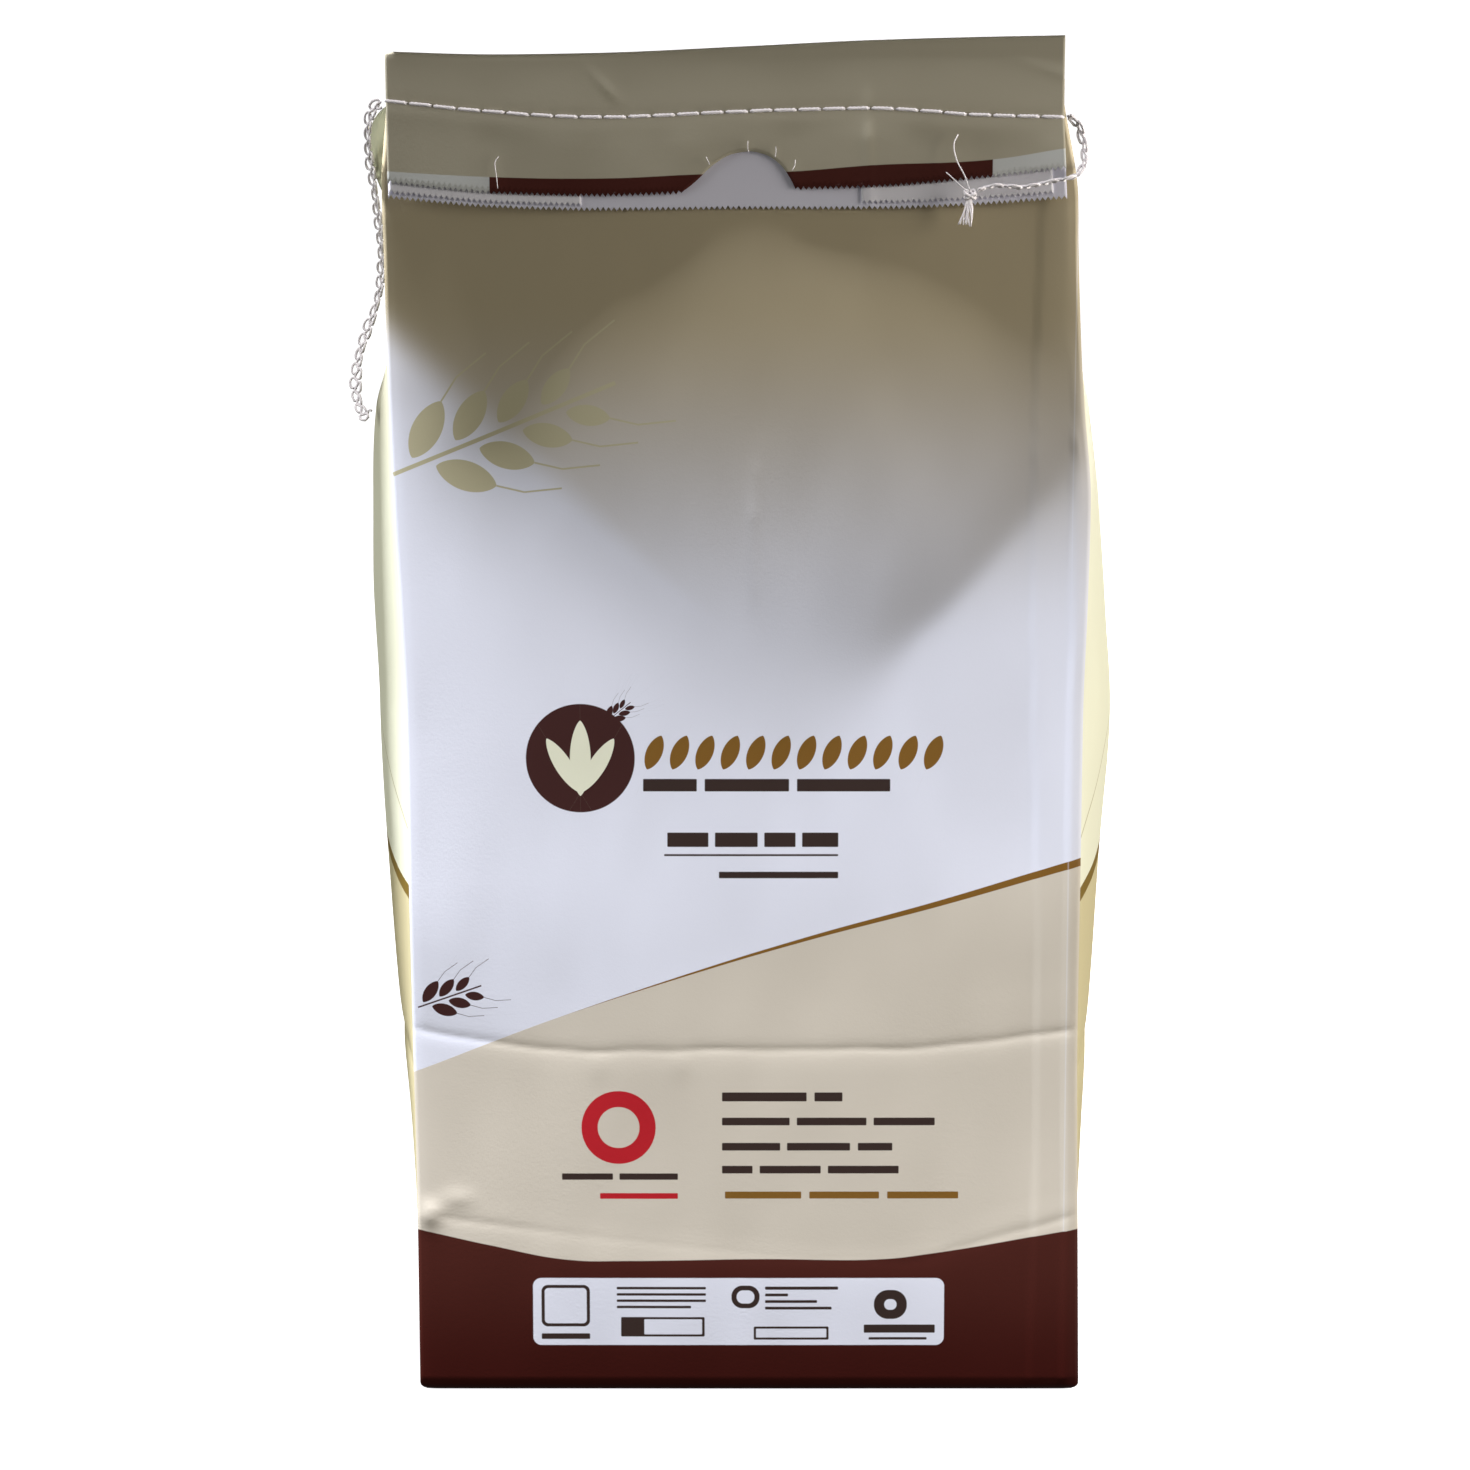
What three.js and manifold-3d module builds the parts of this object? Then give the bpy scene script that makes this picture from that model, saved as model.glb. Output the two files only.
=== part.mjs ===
// An upright paper bag of flour with a block bottom and side gussets. Its pinked mouth is folded
// over towards the viewed face and sewn through with a chain stitch, whose loose thread tails hang
// from both ends of the seam.
// Millimetres, +Z up, the viewed face towards -Y. The sizes below are measured from the middle of
// the base, and the whole is moved at the end so that its origin is under the middle of its box.
import * as THREE from 'three';
import { mergeVertices } from 'three/addons/utils/BufferGeometryUtils.js';
import Module from 'manifold-3d';

const wasm = await Module();
wasm.setup();

// Heights of the folds and edges of the bag above the surface that it stands on
const HEIGHT = {
  baseRound: 2.6,
  lowerCrease: 47,
  lowerCreaseRise: 8,
  upperCrease: 107,
  upperCreaseRise: 6,
  belly: 200,
  neck: 352,
  bodyTop: 360,
};

// The filled body at named heights: where the front panel's two side folds are, how far back the
// back panel is, and how far each gusset stands out beyond the folds (less than zero is tucked in)
const BODY_LEVELS = [
  { z: 0, left: -102.2, right: 102.3, back: 57, bulgeLeft: 2, bulgeRight: 2 },
  { z: 56, left: -102.4, right: 101.4, back: 59, bulgeLeft: 5, bulgeRight: 5 },
  { z: 112, left: -103.2, right: 100.6, back: 58, bulgeLeft: 10.8, bulgeRight: 11.4 },
  { z: 160, left: -103.8, right: 100.8, back: 61, bulgeLeft: 14, bulgeRight: 13.8 },
  { z: 210, left: -104.2, right: 101, back: 62, bulgeLeft: 16.5, bulgeRight: 17 },
  { z: 245, left: -105.5, right: 102, back: 58, bulgeLeft: 16.3, bulgeRight: 13 },
  { z: 275, left: -107, right: 102.5, back: 44, bulgeLeft: 13.5, bulgeRight: 9 },
  { z: 305, left: -108, right: 99.8, back: 16, bulgeLeft: 9, bulgeRight: 6.5 },
  { z: 330, left: -108.6, right: 98.2, back: -19, bulgeLeft: -6, bulgeRight: -6 },
  { z: 350, left: -108.7, right: 97.3, back: -55, bulgeLeft: -13, bulgeRight: -13 },
  { z: 360, left: -108.7, right: 97, back: -65.7, bulgeLeft: 0, bulgeRight: 0 },
];

// The front panel: its plane, how full the flour makes it at each height, and how far its empty
// upper part leans forward to the neck
const FRONT = {
  plane: 57.5,
  fill: 5,
  fillDepth: 20,
  crown: 3,
  lean: 9,
  lowerCreaseDepth: 1.2,
  lowerCreaseWidth: 4,
  upperCreaseDepth: 2.6,
  upperCreaseWidth: 5,
};
const FULLNESS = [
  { z: 0, full: 0 },
  { z: 30, full: 0.45 },
  { z: 80, full: 0.6 },
  { z: 112, full: 0.5 },
  { z: 160, full: 0.95 },
  { z: 200, full: 1 },
];
// The slack valley where the filled part ends, as height over place across the panel, and how
// gently it turns there
const SHOULDER_LINE = [
  { x: -108, z: 332, turn: 5 },
  { x: -85, z: 305, turn: 7 },
  { x: -50, z: 268, turn: 18 },
  { x: -10, z: 246, turn: 26 },
  { x: 30, z: 240, turn: 16 },
  { x: 55, z: 244, turn: 5 },
  { x: 80, z: 264, turn: 5 },
  { x: 102, z: 283, turn: 6 },
];
const PANEL_HALF = 105;
const CREASE_REACH = 26;
const GUSSET_ROUNDNESS = 1.8;
const BASE_INSET = 2;
const BACK = { crown: 4, fullFrom: 60, slackFrom: 250, slackTo: 345 };

// Faces along each side of the body's section, and its levels from base to neck
const FACES = { front: 24, gusset: 6, back: 10 };
const RINGS = { toLowerCrease: 7, toUpperCrease: 8, toBelly: 8, toNeck: 18, toTop: 2 };

// The sewn mouth: neck, fold and flap
const CROWN = {
  bottom: HEIGHT.neck,
  neckFront: -66.7,
  neckBack: -64.5,
  foldMiddle: -67,
  flapFront: -69.4,
  layerStep: 0.5,
  innerThickness: 1.4,
  flapSwing: 0.07,
  slitTop: 1.5,
  footAboveEdge: 1.6,
  stepBelowSeam: 3.6,
  foldRound: 3,
  foldHalf: 1.9,
  foldDrop: 0.8,
  slitFoot: 366,
  flapLeft: -106.3,
  flapRightTop: 91.6,
  flapRightBottom: 93.6,
  neckLeft: -108.9,
  neckRight: 97.2,
  neckSpread: 30,
  columns: 24,
};
// Height of the fold, of the seam and of the two cut edges across the flap
const CROWN_LINES = [
  { x: -106, fold: 405.4, seam: 391, outer: 367.4, inner: 363.4 },
  { x: -75, fold: 404.6, seam: 387.9, outer: 364.5, inner: 360.7 },
  { x: -45, fold: 405, seam: 386.4, outer: 363.8, inner: 359.9 },
  { x: 0, fold: 406.9, seam: 388.1, outer: 365.4, inner: 360.3 },
  { x: 36, fold: 408.6, seam: 388.9, outer: 366.3, inner: 360.3 },
  { x: 68, fold: 409.5, seam: 387, outer: 368.9, inner: 361.6 },
  { x: 94, fold: 410, seam: 386.4, outer: 371.7, inner: 363.4 },
];
const LAYER = { outerFront: -0.4, outerThickness: 0.8, innerFront: 0.3, innerThickness: 0.8 };
const PINKING = { pitch: 1.6, depth: 1.1, inset: 0.25 };
// The thumb notch in the outer layer, from its left foot over the top to its right foot
const NOTCH = [
  { x: -20.5, rise: 0 },
  { x: -15.7, rise: 3.4 },
  { x: -10.2, rise: 8 },
  { x: -4.5, rise: 10.8 },
  { x: 0.5, rise: 11.4 },
  { x: 5, rise: 10.4 },
  { x: 9.3, rise: 7.6 },
  { x: 12.6, rise: 2.8 },
  { x: 13.8, rise: 0 },
];

// The sewing thread
const SEAM = {
  pitch: 7.15,
  stitch: 0.86,
  gap: 0.3,
  high: 0.6,
  low: 0.25,
  chainHigh: 1,
  chainLow: 0.6,
  sides: 6,
};
const TAIL = { leftRadius: 1.5, rightRadius: 1.2, sides: 8, leftSteps: 34, rightSteps: 24 };
const LEFT_TAIL_ROUTE = [
  [-108.3, -67.2, 391.2],
  [-110.6, -66, 390.2],
  [-112.4, -64, 387.2],
  [-113.2, -61, 382],
  [-113.2, -58, 376.3],
  [-112.7, -55, 370],
  [-112.2, -52, 363.5],
  [-112, -48, 356],
  [-112.2, -44, 348],
  [-113.2, -41, 341],
  [-115.2, -39, 334.3],
  [-118, -38, 327.5],
  [-120.1, -38.5, 321],
  [-121, -40.5, 314.2],
  [-120.4, -43.5, 307.6],
  [-118.6, -47, 302.6],
  [-115.8, -50.5, 300.8],
];
const RIGHT_TAIL_ROUTE = [
  [93.4, -67.8, 387.6],
  [95.8, -66.4, 386.2],
  [98, -65, 382],
  [98.8, -65.4, 376.6],
  [97.8, -68, 372.4],
  [95.2, -71.6, 369.6],
  [92, -73.3, 368.4],
  [88.8, -73.4, 367.9],
  [85.3, -73.3, 367.1],
  [81.8, -73.2, 366.4],
  [78.3, -73.2, 366],
  [74.8, -73.2, 366.4],
  [71.6, -73.2, 366.5],
  [68.6, -73.2, 365.9],
  [66.6, -73.2, 365.1],
];
const KNOT = {
  centre: [63.9, -73.4, 363.6],
  radius: 2.2,
  tassel: 6.4,
  tasselTop: 0.9,
  tasselFoot: 2.1,
  sunk: 1,
};

const PAPER = new THREE.MeshStandardMaterial({ color: 0xcfc8bf, roughness: 0.62, metalness: 0 });
const THREAD = new THREE.MeshStandardMaterial({ color: 0xe6e4da, roughness: 0.9, metalness: 0 });

// Smooth value of one field between the rows of a table that is sorted by its key
function between(table, key, at, field) {
  const last = table.length - 1;
  const clamped = THREE.MathUtils.clamp(at, table[0][key], table[last][key]);
  let i = table.findIndex((row, n) => n === last || clamped < table[n + 1][key]);
  i = Math.min(i, last - 1);
  const [a, b] = [table[i], table[i + 1]];
  const span = b[key] - a[key];
  const t = (clamped - a[key]) / span;
  const rise = (b[field] - a[field]) / span;
  const slopeAt = (n) => {
    if (n <= 0 || n >= last) return rise;
    const before = (table[n][field] - table[n - 1][field]) / (table[n][key] - table[n - 1][key]);
    const after = (table[n + 1][field] - table[n][field]) / (table[n + 1][key] - table[n][key]);
    return before * after <= 0 ? 0 : (2 * before * after) / (before + after);
  };
  const [ma, mb] = [slopeAt(i) * span, slopeAt(i + 1) * span];
  const [t2, t3] = [t * t, t * t * t];
  const ease = 3 * t2 - 2 * t3;
  return (1 - ease) * a[field] + ease * b[field] + (t3 - 2 * t2 + t) * ma + (t3 - t2) * mb;
}

// Zero below nothing, its own value well above it, and a round turn between
const softRamp = (value, turn) => turn * Math.log1p(Math.exp(Math.min(value / turn, 40)));

// How near a value is to a line, from 1 on it to 0 a few widths off
const ridge = (offset, width) => Math.exp(-((offset / width) ** 2));

// Nothing at the middle of the panel and one at its side folds
const acrossPanel = (x) => Math.min(1, (x / PANEL_HALF) ** 2);

// How far the upper crease's level is bent up at a place
function creaseBow(across, z) {
  return HEIGHT.upperCreaseRise * across * ridge(z - HEIGHT.upperCrease, CREASE_REACH);
}

// How far the front panel stands forward of the middle plane
function frontDepth(x, z) {
  const across = acrossPanel(x);
  const shoulder = between(SHOULDER_LINE, 'x', x, 'z');
  const turn = between(SHOULDER_LINE, 'x', x, 'turn');
  const below = softRamp(shoulder - z, turn);
  const above = softRamp(z - shoulder, turn);
  const filled = 1 - Math.exp(-below / FRONT.fillDepth);
  const full = between(FULLNESS, 'z', z, 'full');
  const lean = FRONT.lean * Math.min(1, above / (HEIGHT.neck - shoulder));
  const crown = FRONT.crown * (1 - across) * filled * full;
  const lower = HEIGHT.lowerCrease + HEIGHT.lowerCreaseRise * across;
  const upper = HEIGHT.upperCrease + HEIGHT.upperCreaseRise * across;
  const creases =
    FRONT.lowerCreaseDepth * ridge(z - lower, FRONT.lowerCreaseWidth) +
    FRONT.upperCreaseDepth * ridge(z - upper, FRONT.upperCreaseWidth);
  return FRONT.plane + FRONT.fill * full * filled + crown + lean - creases;
}

// One closed section of the body, anticlockwise from above, starting at the front left fold
function bodySection(z, inset) {
  const at = (field) => between(BODY_LEVELS, 'z', z, field);
  const [left, right, back] = [at('left') + inset, at('right') - inset, at('back') - inset];
  const points = [];
  for (let i = 0; i < FACES.front; i += 1) {
    const x = THREE.MathUtils.lerp(left, right, i / FACES.front);
    const bow = creaseBow(acrossPanel(x), z);
    points.push([x, -frontDepth(x, z + bow) + inset, z + bow]);
  }
  const foldY = (x) => -frontDepth(x, z + creaseBow(1, z)) + inset;
  const gusset = (edge, outward, bulge, fromY, toY) => {
    for (let i = 0; i < FACES.gusset; i += 1) {
      const u = i / FACES.gusset;
      const offMiddle = Math.abs(2 * u - 1);
      const shape = bulge > 0 ? 1 - offMiddle ** GUSSET_ROUNDNESS : 1 - offMiddle;
      const nearFront = outward > 0 ? 1 - u : u;
      const x = edge + outward * bulge * shape;
      points.push([x, THREE.MathUtils.lerp(fromY, toY, u), z + creaseBow(nearFront, z)]);
    }
  };
  gusset(right, 1, at('bulgeRight'), foldY(right), back);
  const slack = THREE.MathUtils.smoothstep(z, BACK.slackFrom, BACK.slackTo);
  const full = THREE.MathUtils.smoothstep(z, 0, BACK.fullFrom) * (1 - slack);
  for (let i = 0; i < FACES.back; i += 1) {
    const t = i / FACES.back;
    points.push([THREE.MathUtils.lerp(right, left, t), back + BACK.crown * full * 4 * t * (1 - t), z]);
  }
  gusset(left, -1, at('bulgeLeft'), back, foldY(left));
  return points;
}

// Heights of the body's sections: close together at the rounded base edge and at the creases
function bodyHeights() {
  const heights = [0, HEIGHT.baseRound * 0.3, HEIGHT.baseRound];
  const stretch = (to, count) => {
    const from = heights[heights.length - 1];
    for (let i = 1; i <= count; i += 1) heights.push(THREE.MathUtils.lerp(from, to, i / count));
  };
  stretch(HEIGHT.lowerCrease, RINGS.toLowerCrease);
  stretch(HEIGHT.upperCrease, RINGS.toUpperCrease);
  stretch(HEIGHT.belly, RINGS.toBelly);
  stretch(HEIGHT.neck, RINGS.toNeck);
  stretch(HEIGHT.bodyTop, RINGS.toTop);
  return heights;
}

// A closed mesh through a row of sections of equal length, with flat ends. flatten drops the
// coordinate that the row runs along, so that its sign tells which way round the sections go. A
// fanned end has a point in its middle, and any other is cut up as an outline
function sweep(rows, flatten, fanned) {
  const outline = (section) => section.map((point) => new THREE.Vector2(...flatten(point)));
  const clockwise = THREE.ShapeUtils.isClockWise(outline(rows[0]));
  const sections = clockwise ? rows.map((row) => [...row].reverse()) : rows;
  const count = sections[0].length;
  const positions = sections.flat();
  const indices = [];
  for (let i = 0; i < sections.length - 1; i += 1) {
    for (let j = 0; j < count; j += 1) {
      const next = (j + 1) % count;
      const [a, b, c, d] = [i * count + j, i * count + next, (i + 1) * count + next, (i + 1) * count + j];
      indices.push(a, b, c, a, c, d);
    }
  }
  const endFaces = (section, offset) => {
    if (!fanned) {
      const faces = THREE.ShapeUtils.triangulateShape(outline(section), []);
      return faces.map((face) => face.map((corner) => offset + corner));
    }
    const middle = positions.length;
    positions.push([0, 1, 2].map((axis) => section.reduce((sum, point) => sum + point[axis], 0) / count));
    return section.map((_, j) => [middle, offset + j, offset + ((j + 1) % count)]);
  };
  endFaces(sections[0], 0).forEach(([a, b, c]) => indices.push(a, c, b));
  endFaces(sections.at(-1), (sections.length - 1) * count).forEach((face) => indices.push(...face));
  const geometry = new THREE.BufferGeometry();
  geometry.setAttribute('position', new THREE.Float32BufferAttribute(positions.flat(), 3));
  geometry.setIndex(indices);
  return geometry;
}

function toSolid(geometry) {
  const bare = geometry.clone();
  bare.deleteAttribute('normal');
  bare.deleteAttribute('uv');
  const merged = mergeVertices(bare, 1e-4);
  const mesh = new wasm.Mesh({
    numProp: 3,
    vertProperties: Float32Array.from(merged.attributes.position.array),
    triVerts: Uint32Array.from(merged.index.array),
  });
  return new wasm.Manifold(mesh);
}

function toGeometry(solid) {
  const mesh = solid.getMesh();
  const geometry = new THREE.BufferGeometry();
  geometry.setAttribute('position', new THREE.BufferAttribute(mesh.vertProperties, 3));
  geometry.setIndex(new THREE.BufferAttribute(mesh.triVerts, 1));
  return geometry;
}

const crownAt = (x, field) => between(CROWN_LINES, 'x', x, field);

// The flap swings out a little below the seam
function flapFront(x, z) {
  return CROWN.flapFront - CROWN.flapSwing * Math.max(0, crownAt(x, 'seam') - z);
}

// The neck spreads towards the body's full width below the seam
function neckEdges(z) {
  const spread = THREE.MathUtils.clamp((crownAt(0, 'seam') - z) / CROWN.neckSpread, 0, 1);
  return [
    THREE.MathUtils.lerp(CROWN.flapLeft, CROWN.neckLeft, spread),
    THREE.MathUtils.lerp(CROWN.flapRightTop, CROWN.neckRight, spread),
  ];
}

// The flap's right edge runs out a little from the seam to its cut edge
function flapEdges(z) {
  const down = THREE.MathUtils.clamp((crownAt(0, 'seam') - z) / CROWN.neckSpread, 0, 1);
  return [CROWN.flapLeft, THREE.MathUtils.lerp(CROWN.flapRightTop, CROWN.flapRightBottom, down)];
}

// Section of neck, fold and flap at one place across the bag, from the back of the neck's foot over
// the fold and down to the flap's inner layers, then back up inside the slit
function crownSection(t) {
  const flapX = THREE.MathUtils.lerp(CROWN.flapLeft, CROWN.flapRightTop, t);
  const place = (y, z, side) => {
    const [left, right] = side === 'neck' ? neckEdges(z) : flapEdges(z);
    return [THREE.MathUtils.lerp(left, right, t), y, z];
  };
  const fold = crownAt(flapX, 'fold');
  const seam = crownAt(flapX, 'seam');
  const foot = crownAt(flapX, 'inner') + CROWN.footAboveEdge;
  const stepTop = seam - CROWN.stepBelowSeam;
  const footFront = flapFront(flapX, foot);
  return [
    place(CROWN.neckBack, CROWN.bottom, 'neck'),
    place(CROWN.neckFront, CROWN.bottom, 'neck'),
    place(CROWN.neckFront, CROWN.slitFoot, 'neck'),
    place(CROWN.foldMiddle, seam - CROWN.slitTop, 'flap'),
    place(footFront + CROWN.innerThickness, foot, 'flap'),
    place(footFront, foot, 'flap'),
    place(flapFront(flapX, stepTop - 1), stepTop - 1, 'flap'),
    place(flapFront(flapX, stepTop) - CROWN.layerStep, stepTop, 'flap'),
    place(CROWN.flapFront - CROWN.layerStep, seam, 'flap'),
    place(CROWN.flapFront - CROWN.layerStep, fold - CROWN.foldRound, 'flap'),
    place(CROWN.foldMiddle - CROWN.foldHalf, fold - CROWN.foldDrop, 'flap'),
    place(CROWN.foldMiddle, fold, 'flap'),
    place(CROWN.foldMiddle + CROWN.foldHalf, fold - CROWN.foldDrop, 'flap'),
    place(CROWN.neckBack, fold - CROWN.foldRound, 'flap'),
  ];
}

// A cut paper layer of the flap: a thin plate from below the seam down to a pinked edge that
// follows a crown line. front is how far its face stands behind the flap's own
function pinkedLayer(edge, topBelowSeam, front, thickness, notched) {
  const teeth = Math.round((CROWN.flapRightBottom - CROWN.flapLeft) / PINKING.pitch);
  const positions = [];
  const indices = [];
  const addPoint = (t, depth, heightAt) => {
    const [left, right] = flapEdges(heightAt(0));
    const x = THREE.MathUtils.lerp(left + PINKING.inset, right - PINKING.inset, t);
    const z = heightAt(x);
    positions.push([x, flapFront(x, z) + front + depth, z]);
  };
  const cut = (valley) => (x) => {
    const inNotch = notched && x > NOTCH[0].x && x < NOTCH.at(-1).x;
    const rise = inNotch ? between(NOTCH, 'x', x, 'rise') : valley * PINKING.depth;
    return crownAt(x, edge) + rise;
  };
  const top = (x) => crownAt(x, 'seam') - topBelowSeam;
  for (let i = 0; i <= teeth; i += 1) {
    const [here, middle] = [i / teeth, (i + 0.5) / teeth];
    [0, thickness].forEach((depth) => {
      addPoint(here, depth, top);
      addPoint(here, depth, cut(0));
      if (i < teeth) addPoint(middle, depth, cut(1));
    });
  }
  const quad = (a, b, c, d) => indices.push(a, b, c, a, c, d);
  for (let i = 0; i < teeth; i += 1) {
    const first = 6 * i;
    const [frontTop, frontTip, frontValley] = [first, first + 1, first + 2];
    const [backTop, backTip, backValley] = [first + 3, first + 4, first + 5];
    const next = first + 6;
    const step = i < teeth - 1 ? 3 : 2;
    indices.push(frontTop, frontTip, frontValley, frontTop, frontValley, next + 1);
    indices.push(frontTop, next + 1, next);
    indices.push(backTop, backValley, backTip, backTop, next + step + 1, backValley);
    indices.push(backTop, next + step, next + step + 1);
    quad(frontTip, backTip, backValley, frontValley);
    quad(frontValley, backValley, next + step + 1, next + 1);
    quad(frontTop, next, next + step, backTop);
  }
  const last = 6 * teeth;
  quad(0, 3, 4, 1);
  quad(last, last + 1, last + 3, last + 2);
  const geometry = new THREE.BufferGeometry();
  geometry.setAttribute('position', new THREE.Float32BufferAttribute(positions.flat(), 3));
  geometry.setIndex(indices);
  return geometry;
}

function bagGeometry() {
  const baseInset = (z) => BASE_INSET * Math.max(0, 1 - z / HEIGHT.baseRound) ** 2;
  const levels = bodyHeights().map((z) => bodySection(z, baseInset(z)));
  const body = sweep(levels, ([x, y]) => [x, y], true);
  const crownSections = [];
  for (let i = 0; i <= CROWN.columns; i += 1) crownSections.push(crownSection(i / CROWN.columns));
  const crown = sweep(crownSections, ([, y, z]) => [y, z], false);
  const outer = pinkedLayer('outer', 2, LAYER.outerFront, LAYER.outerThickness, true);
  const inner = pinkedLayer('inner', 16, LAYER.innerFront, LAYER.innerThickness, false);
  const whole = [body, crown, outer, inner].map(toSolid).reduce((all, piece) => all.add(piece));
  return toGeometry(whole);
}

// A row of stitches along the seam: thick over each stitch, thin where the thread dives
function seamGeometry(y, high, low) {
  const [from, to] = [CROWN.flapLeft - 0.5, CROWN.flapRightTop + 0.4];
  const stitches = Math.round((to - from) / SEAM.pitch);
  const pitch = (to - from) / stitches;
  const sections = [];
  const addRing = (x, radius) => {
    const ring = [];
    const z = crownAt(x, 'seam');
    for (let k = 0; k < SEAM.sides; k += 1) {
      const angle = (2 * Math.PI * k) / SEAM.sides;
      ring.push([x, y + radius * Math.cos(angle), z + radius * Math.sin(angle)]);
    }
    sections.push(ring);
  };
  for (let i = 0; i < stitches; i += 1) {
    const start = from + i * pitch;
    const length = pitch * SEAM.stitch;
    addRing(start, low);
    addRing(start + 0.12 * length, high);
    addRing(start + 0.88 * length, high);
    addRing(start + length, low);
  }
  addRing(to, low);
  return sweep(sections, ([, py, pz]) => [py, pz], true);
}

// A loose chain of thread as one plain round tube along its route
function tailGeometry(route, radius, steps) {
  const section = new THREE.Shape();
  for (let k = 0; k < TAIL.sides; k += 1) {
    const angle = (2 * Math.PI * k) / TAIL.sides;
    const point = [radius * Math.cos(angle), radius * Math.sin(angle)];
    if (k === 0) section.moveTo(...point);
    else section.lineTo(...point);
  }
  section.closePath();
  const path = new THREE.CatmullRomCurve3(route.map((point) => new THREE.Vector3(...point)));
  return new THREE.ExtrudeGeometry(section, { steps, bevelEnabled: false, extrudePath: path });
}

// The right tail's end: a small knot with a frayed tassel below it
function knotGeometry() {
  const ball = new THREE.SphereGeometry(KNOT.radius, 12, 8);
  const tassel = new THREE.CylinderGeometry(KNOT.tasselTop, KNOT.tasselFoot, KNOT.tassel, 10);
  tassel.rotateX(Math.PI / 2);
  tassel.translate(0, 0, -KNOT.radius - KNOT.tassel / 2 + KNOT.sunk);
  const knot = toGeometry(toSolid(ball).add(toSolid(tassel)));
  return knot.translate(...KNOT.centre);
}

const group = new THREE.Group();

function addPiece(name, geometry, material) {
  const mesh = new THREE.Mesh(geometry, material);
  mesh.name = name;
  group.add(mesh);
}

const seamFrontY = CROWN.flapFront - CROWN.layerStep - SEAM.gap - SEAM.high;
const seamBackY = CROWN.neckBack + SEAM.gap + SEAM.chainHigh;

addPiece('bag', bagGeometry(), PAPER);
addPiece('seam_stitches', seamGeometry(seamFrontY, SEAM.high, SEAM.low), THREAD);
addPiece('seam_chain', seamGeometry(seamBackY, SEAM.chainHigh, SEAM.chainLow), THREAD);

const middle = new THREE.Box3().setFromObject(group).getCenter(new THREE.Vector3());
group.position.set(-middle.x, -middle.y, 0);

addPiece('thread_tail_left', tailGeometry(LEFT_TAIL_ROUTE, TAIL.leftRadius, TAIL.leftSteps), THREAD);
addPiece('thread_tail_right', tailGeometry(RIGHT_TAIL_ROUTE, TAIL.rightRadius, TAIL.rightSteps), THREAD);
addPiece('thread_knot', knotGeometry(), THREAD);

export default group;
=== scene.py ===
"""An upright paper bag of flour with side gussets and a sewn, folded mouth.

The drawings below are in millimetres, measured from the middle of the bag's base with the viewed
face towards -Y, and every mesh is turned into metres in the shared frame when it is filled.
"""

import logging
import math
from collections.abc import Sequence
from dataclasses import dataclass
from enum import Enum

import bmesh
import bpy
import numpy as np
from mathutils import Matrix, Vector, noise

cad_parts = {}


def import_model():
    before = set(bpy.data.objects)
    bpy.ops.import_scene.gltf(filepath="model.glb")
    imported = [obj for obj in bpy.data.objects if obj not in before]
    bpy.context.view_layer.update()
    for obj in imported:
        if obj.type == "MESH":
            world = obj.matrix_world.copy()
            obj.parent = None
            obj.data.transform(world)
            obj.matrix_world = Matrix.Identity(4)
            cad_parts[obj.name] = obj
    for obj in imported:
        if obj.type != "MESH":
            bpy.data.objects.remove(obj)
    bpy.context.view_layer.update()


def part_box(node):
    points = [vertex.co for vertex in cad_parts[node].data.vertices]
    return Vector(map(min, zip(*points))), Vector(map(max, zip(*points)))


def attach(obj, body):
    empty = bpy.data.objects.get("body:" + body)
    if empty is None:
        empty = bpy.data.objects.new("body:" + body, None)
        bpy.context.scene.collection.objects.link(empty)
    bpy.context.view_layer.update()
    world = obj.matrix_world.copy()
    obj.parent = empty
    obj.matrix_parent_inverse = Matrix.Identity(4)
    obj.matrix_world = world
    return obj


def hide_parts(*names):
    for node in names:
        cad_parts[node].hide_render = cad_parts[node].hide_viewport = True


log = logging.getLogger("bag_of_flour")

MM = 0.001
SEAM_CENTRE = (-7.4, -63.2)
Array = np.ndarray


class Slot(Enum):
    """The record's material slots."""

    PAPER = "printed_paper"
    THREAD = "sewing_thread"


class Panel(Enum):
    """The four walls of the bag's tube, in order around it."""

    FRONT = 0
    RIGHT = 1
    BACK = 2
    LEFT = 3


class Track:
    """A smooth curve through a table of places and values that never overshoots them."""

    def __init__(self, *rows: tuple[float, float]) -> None:
        """Take the table.

        Args:
            rows: Pairs of a place and the value there, in order of place.
        """
        self.at, self.value = np.array(rows, float).T
        rise = np.diff(self.value) / np.diff(self.at)
        before, after = rise[:-1], rise[1:]
        total = np.where(before * after > 0, before + after, 1.0)
        inner = np.where(before * after > 0, 2 * before * after / total, 0.0)
        self.slope = np.concatenate(([rise[0]], inner, [rise[-1]]))

    def __call__(self, at: Array | float) -> Array:
        """Read the curve.

        Args:
            at: Places to read it at. Outside the table the end values hold.

        Returns:
            The values there.
        """
        at = np.clip(at, self.at[0], self.at[-1])
        i = np.clip(np.searchsorted(self.at, at, side="right") - 1, 0, len(self.at) - 2)
        span = self.at[i + 1] - self.at[i]
        t = (at - self.at[i]) / span
        ease = t * t * (3 - 2 * t)
        bend_in = (t - 1) ** 2 * t * self.slope[i] * span
        bend_out = (t - 1) * t * t * self.slope[i + 1] * span
        return (1 - ease) * self.value[i] + ease * self.value[i + 1] + bend_in + bend_out


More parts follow.
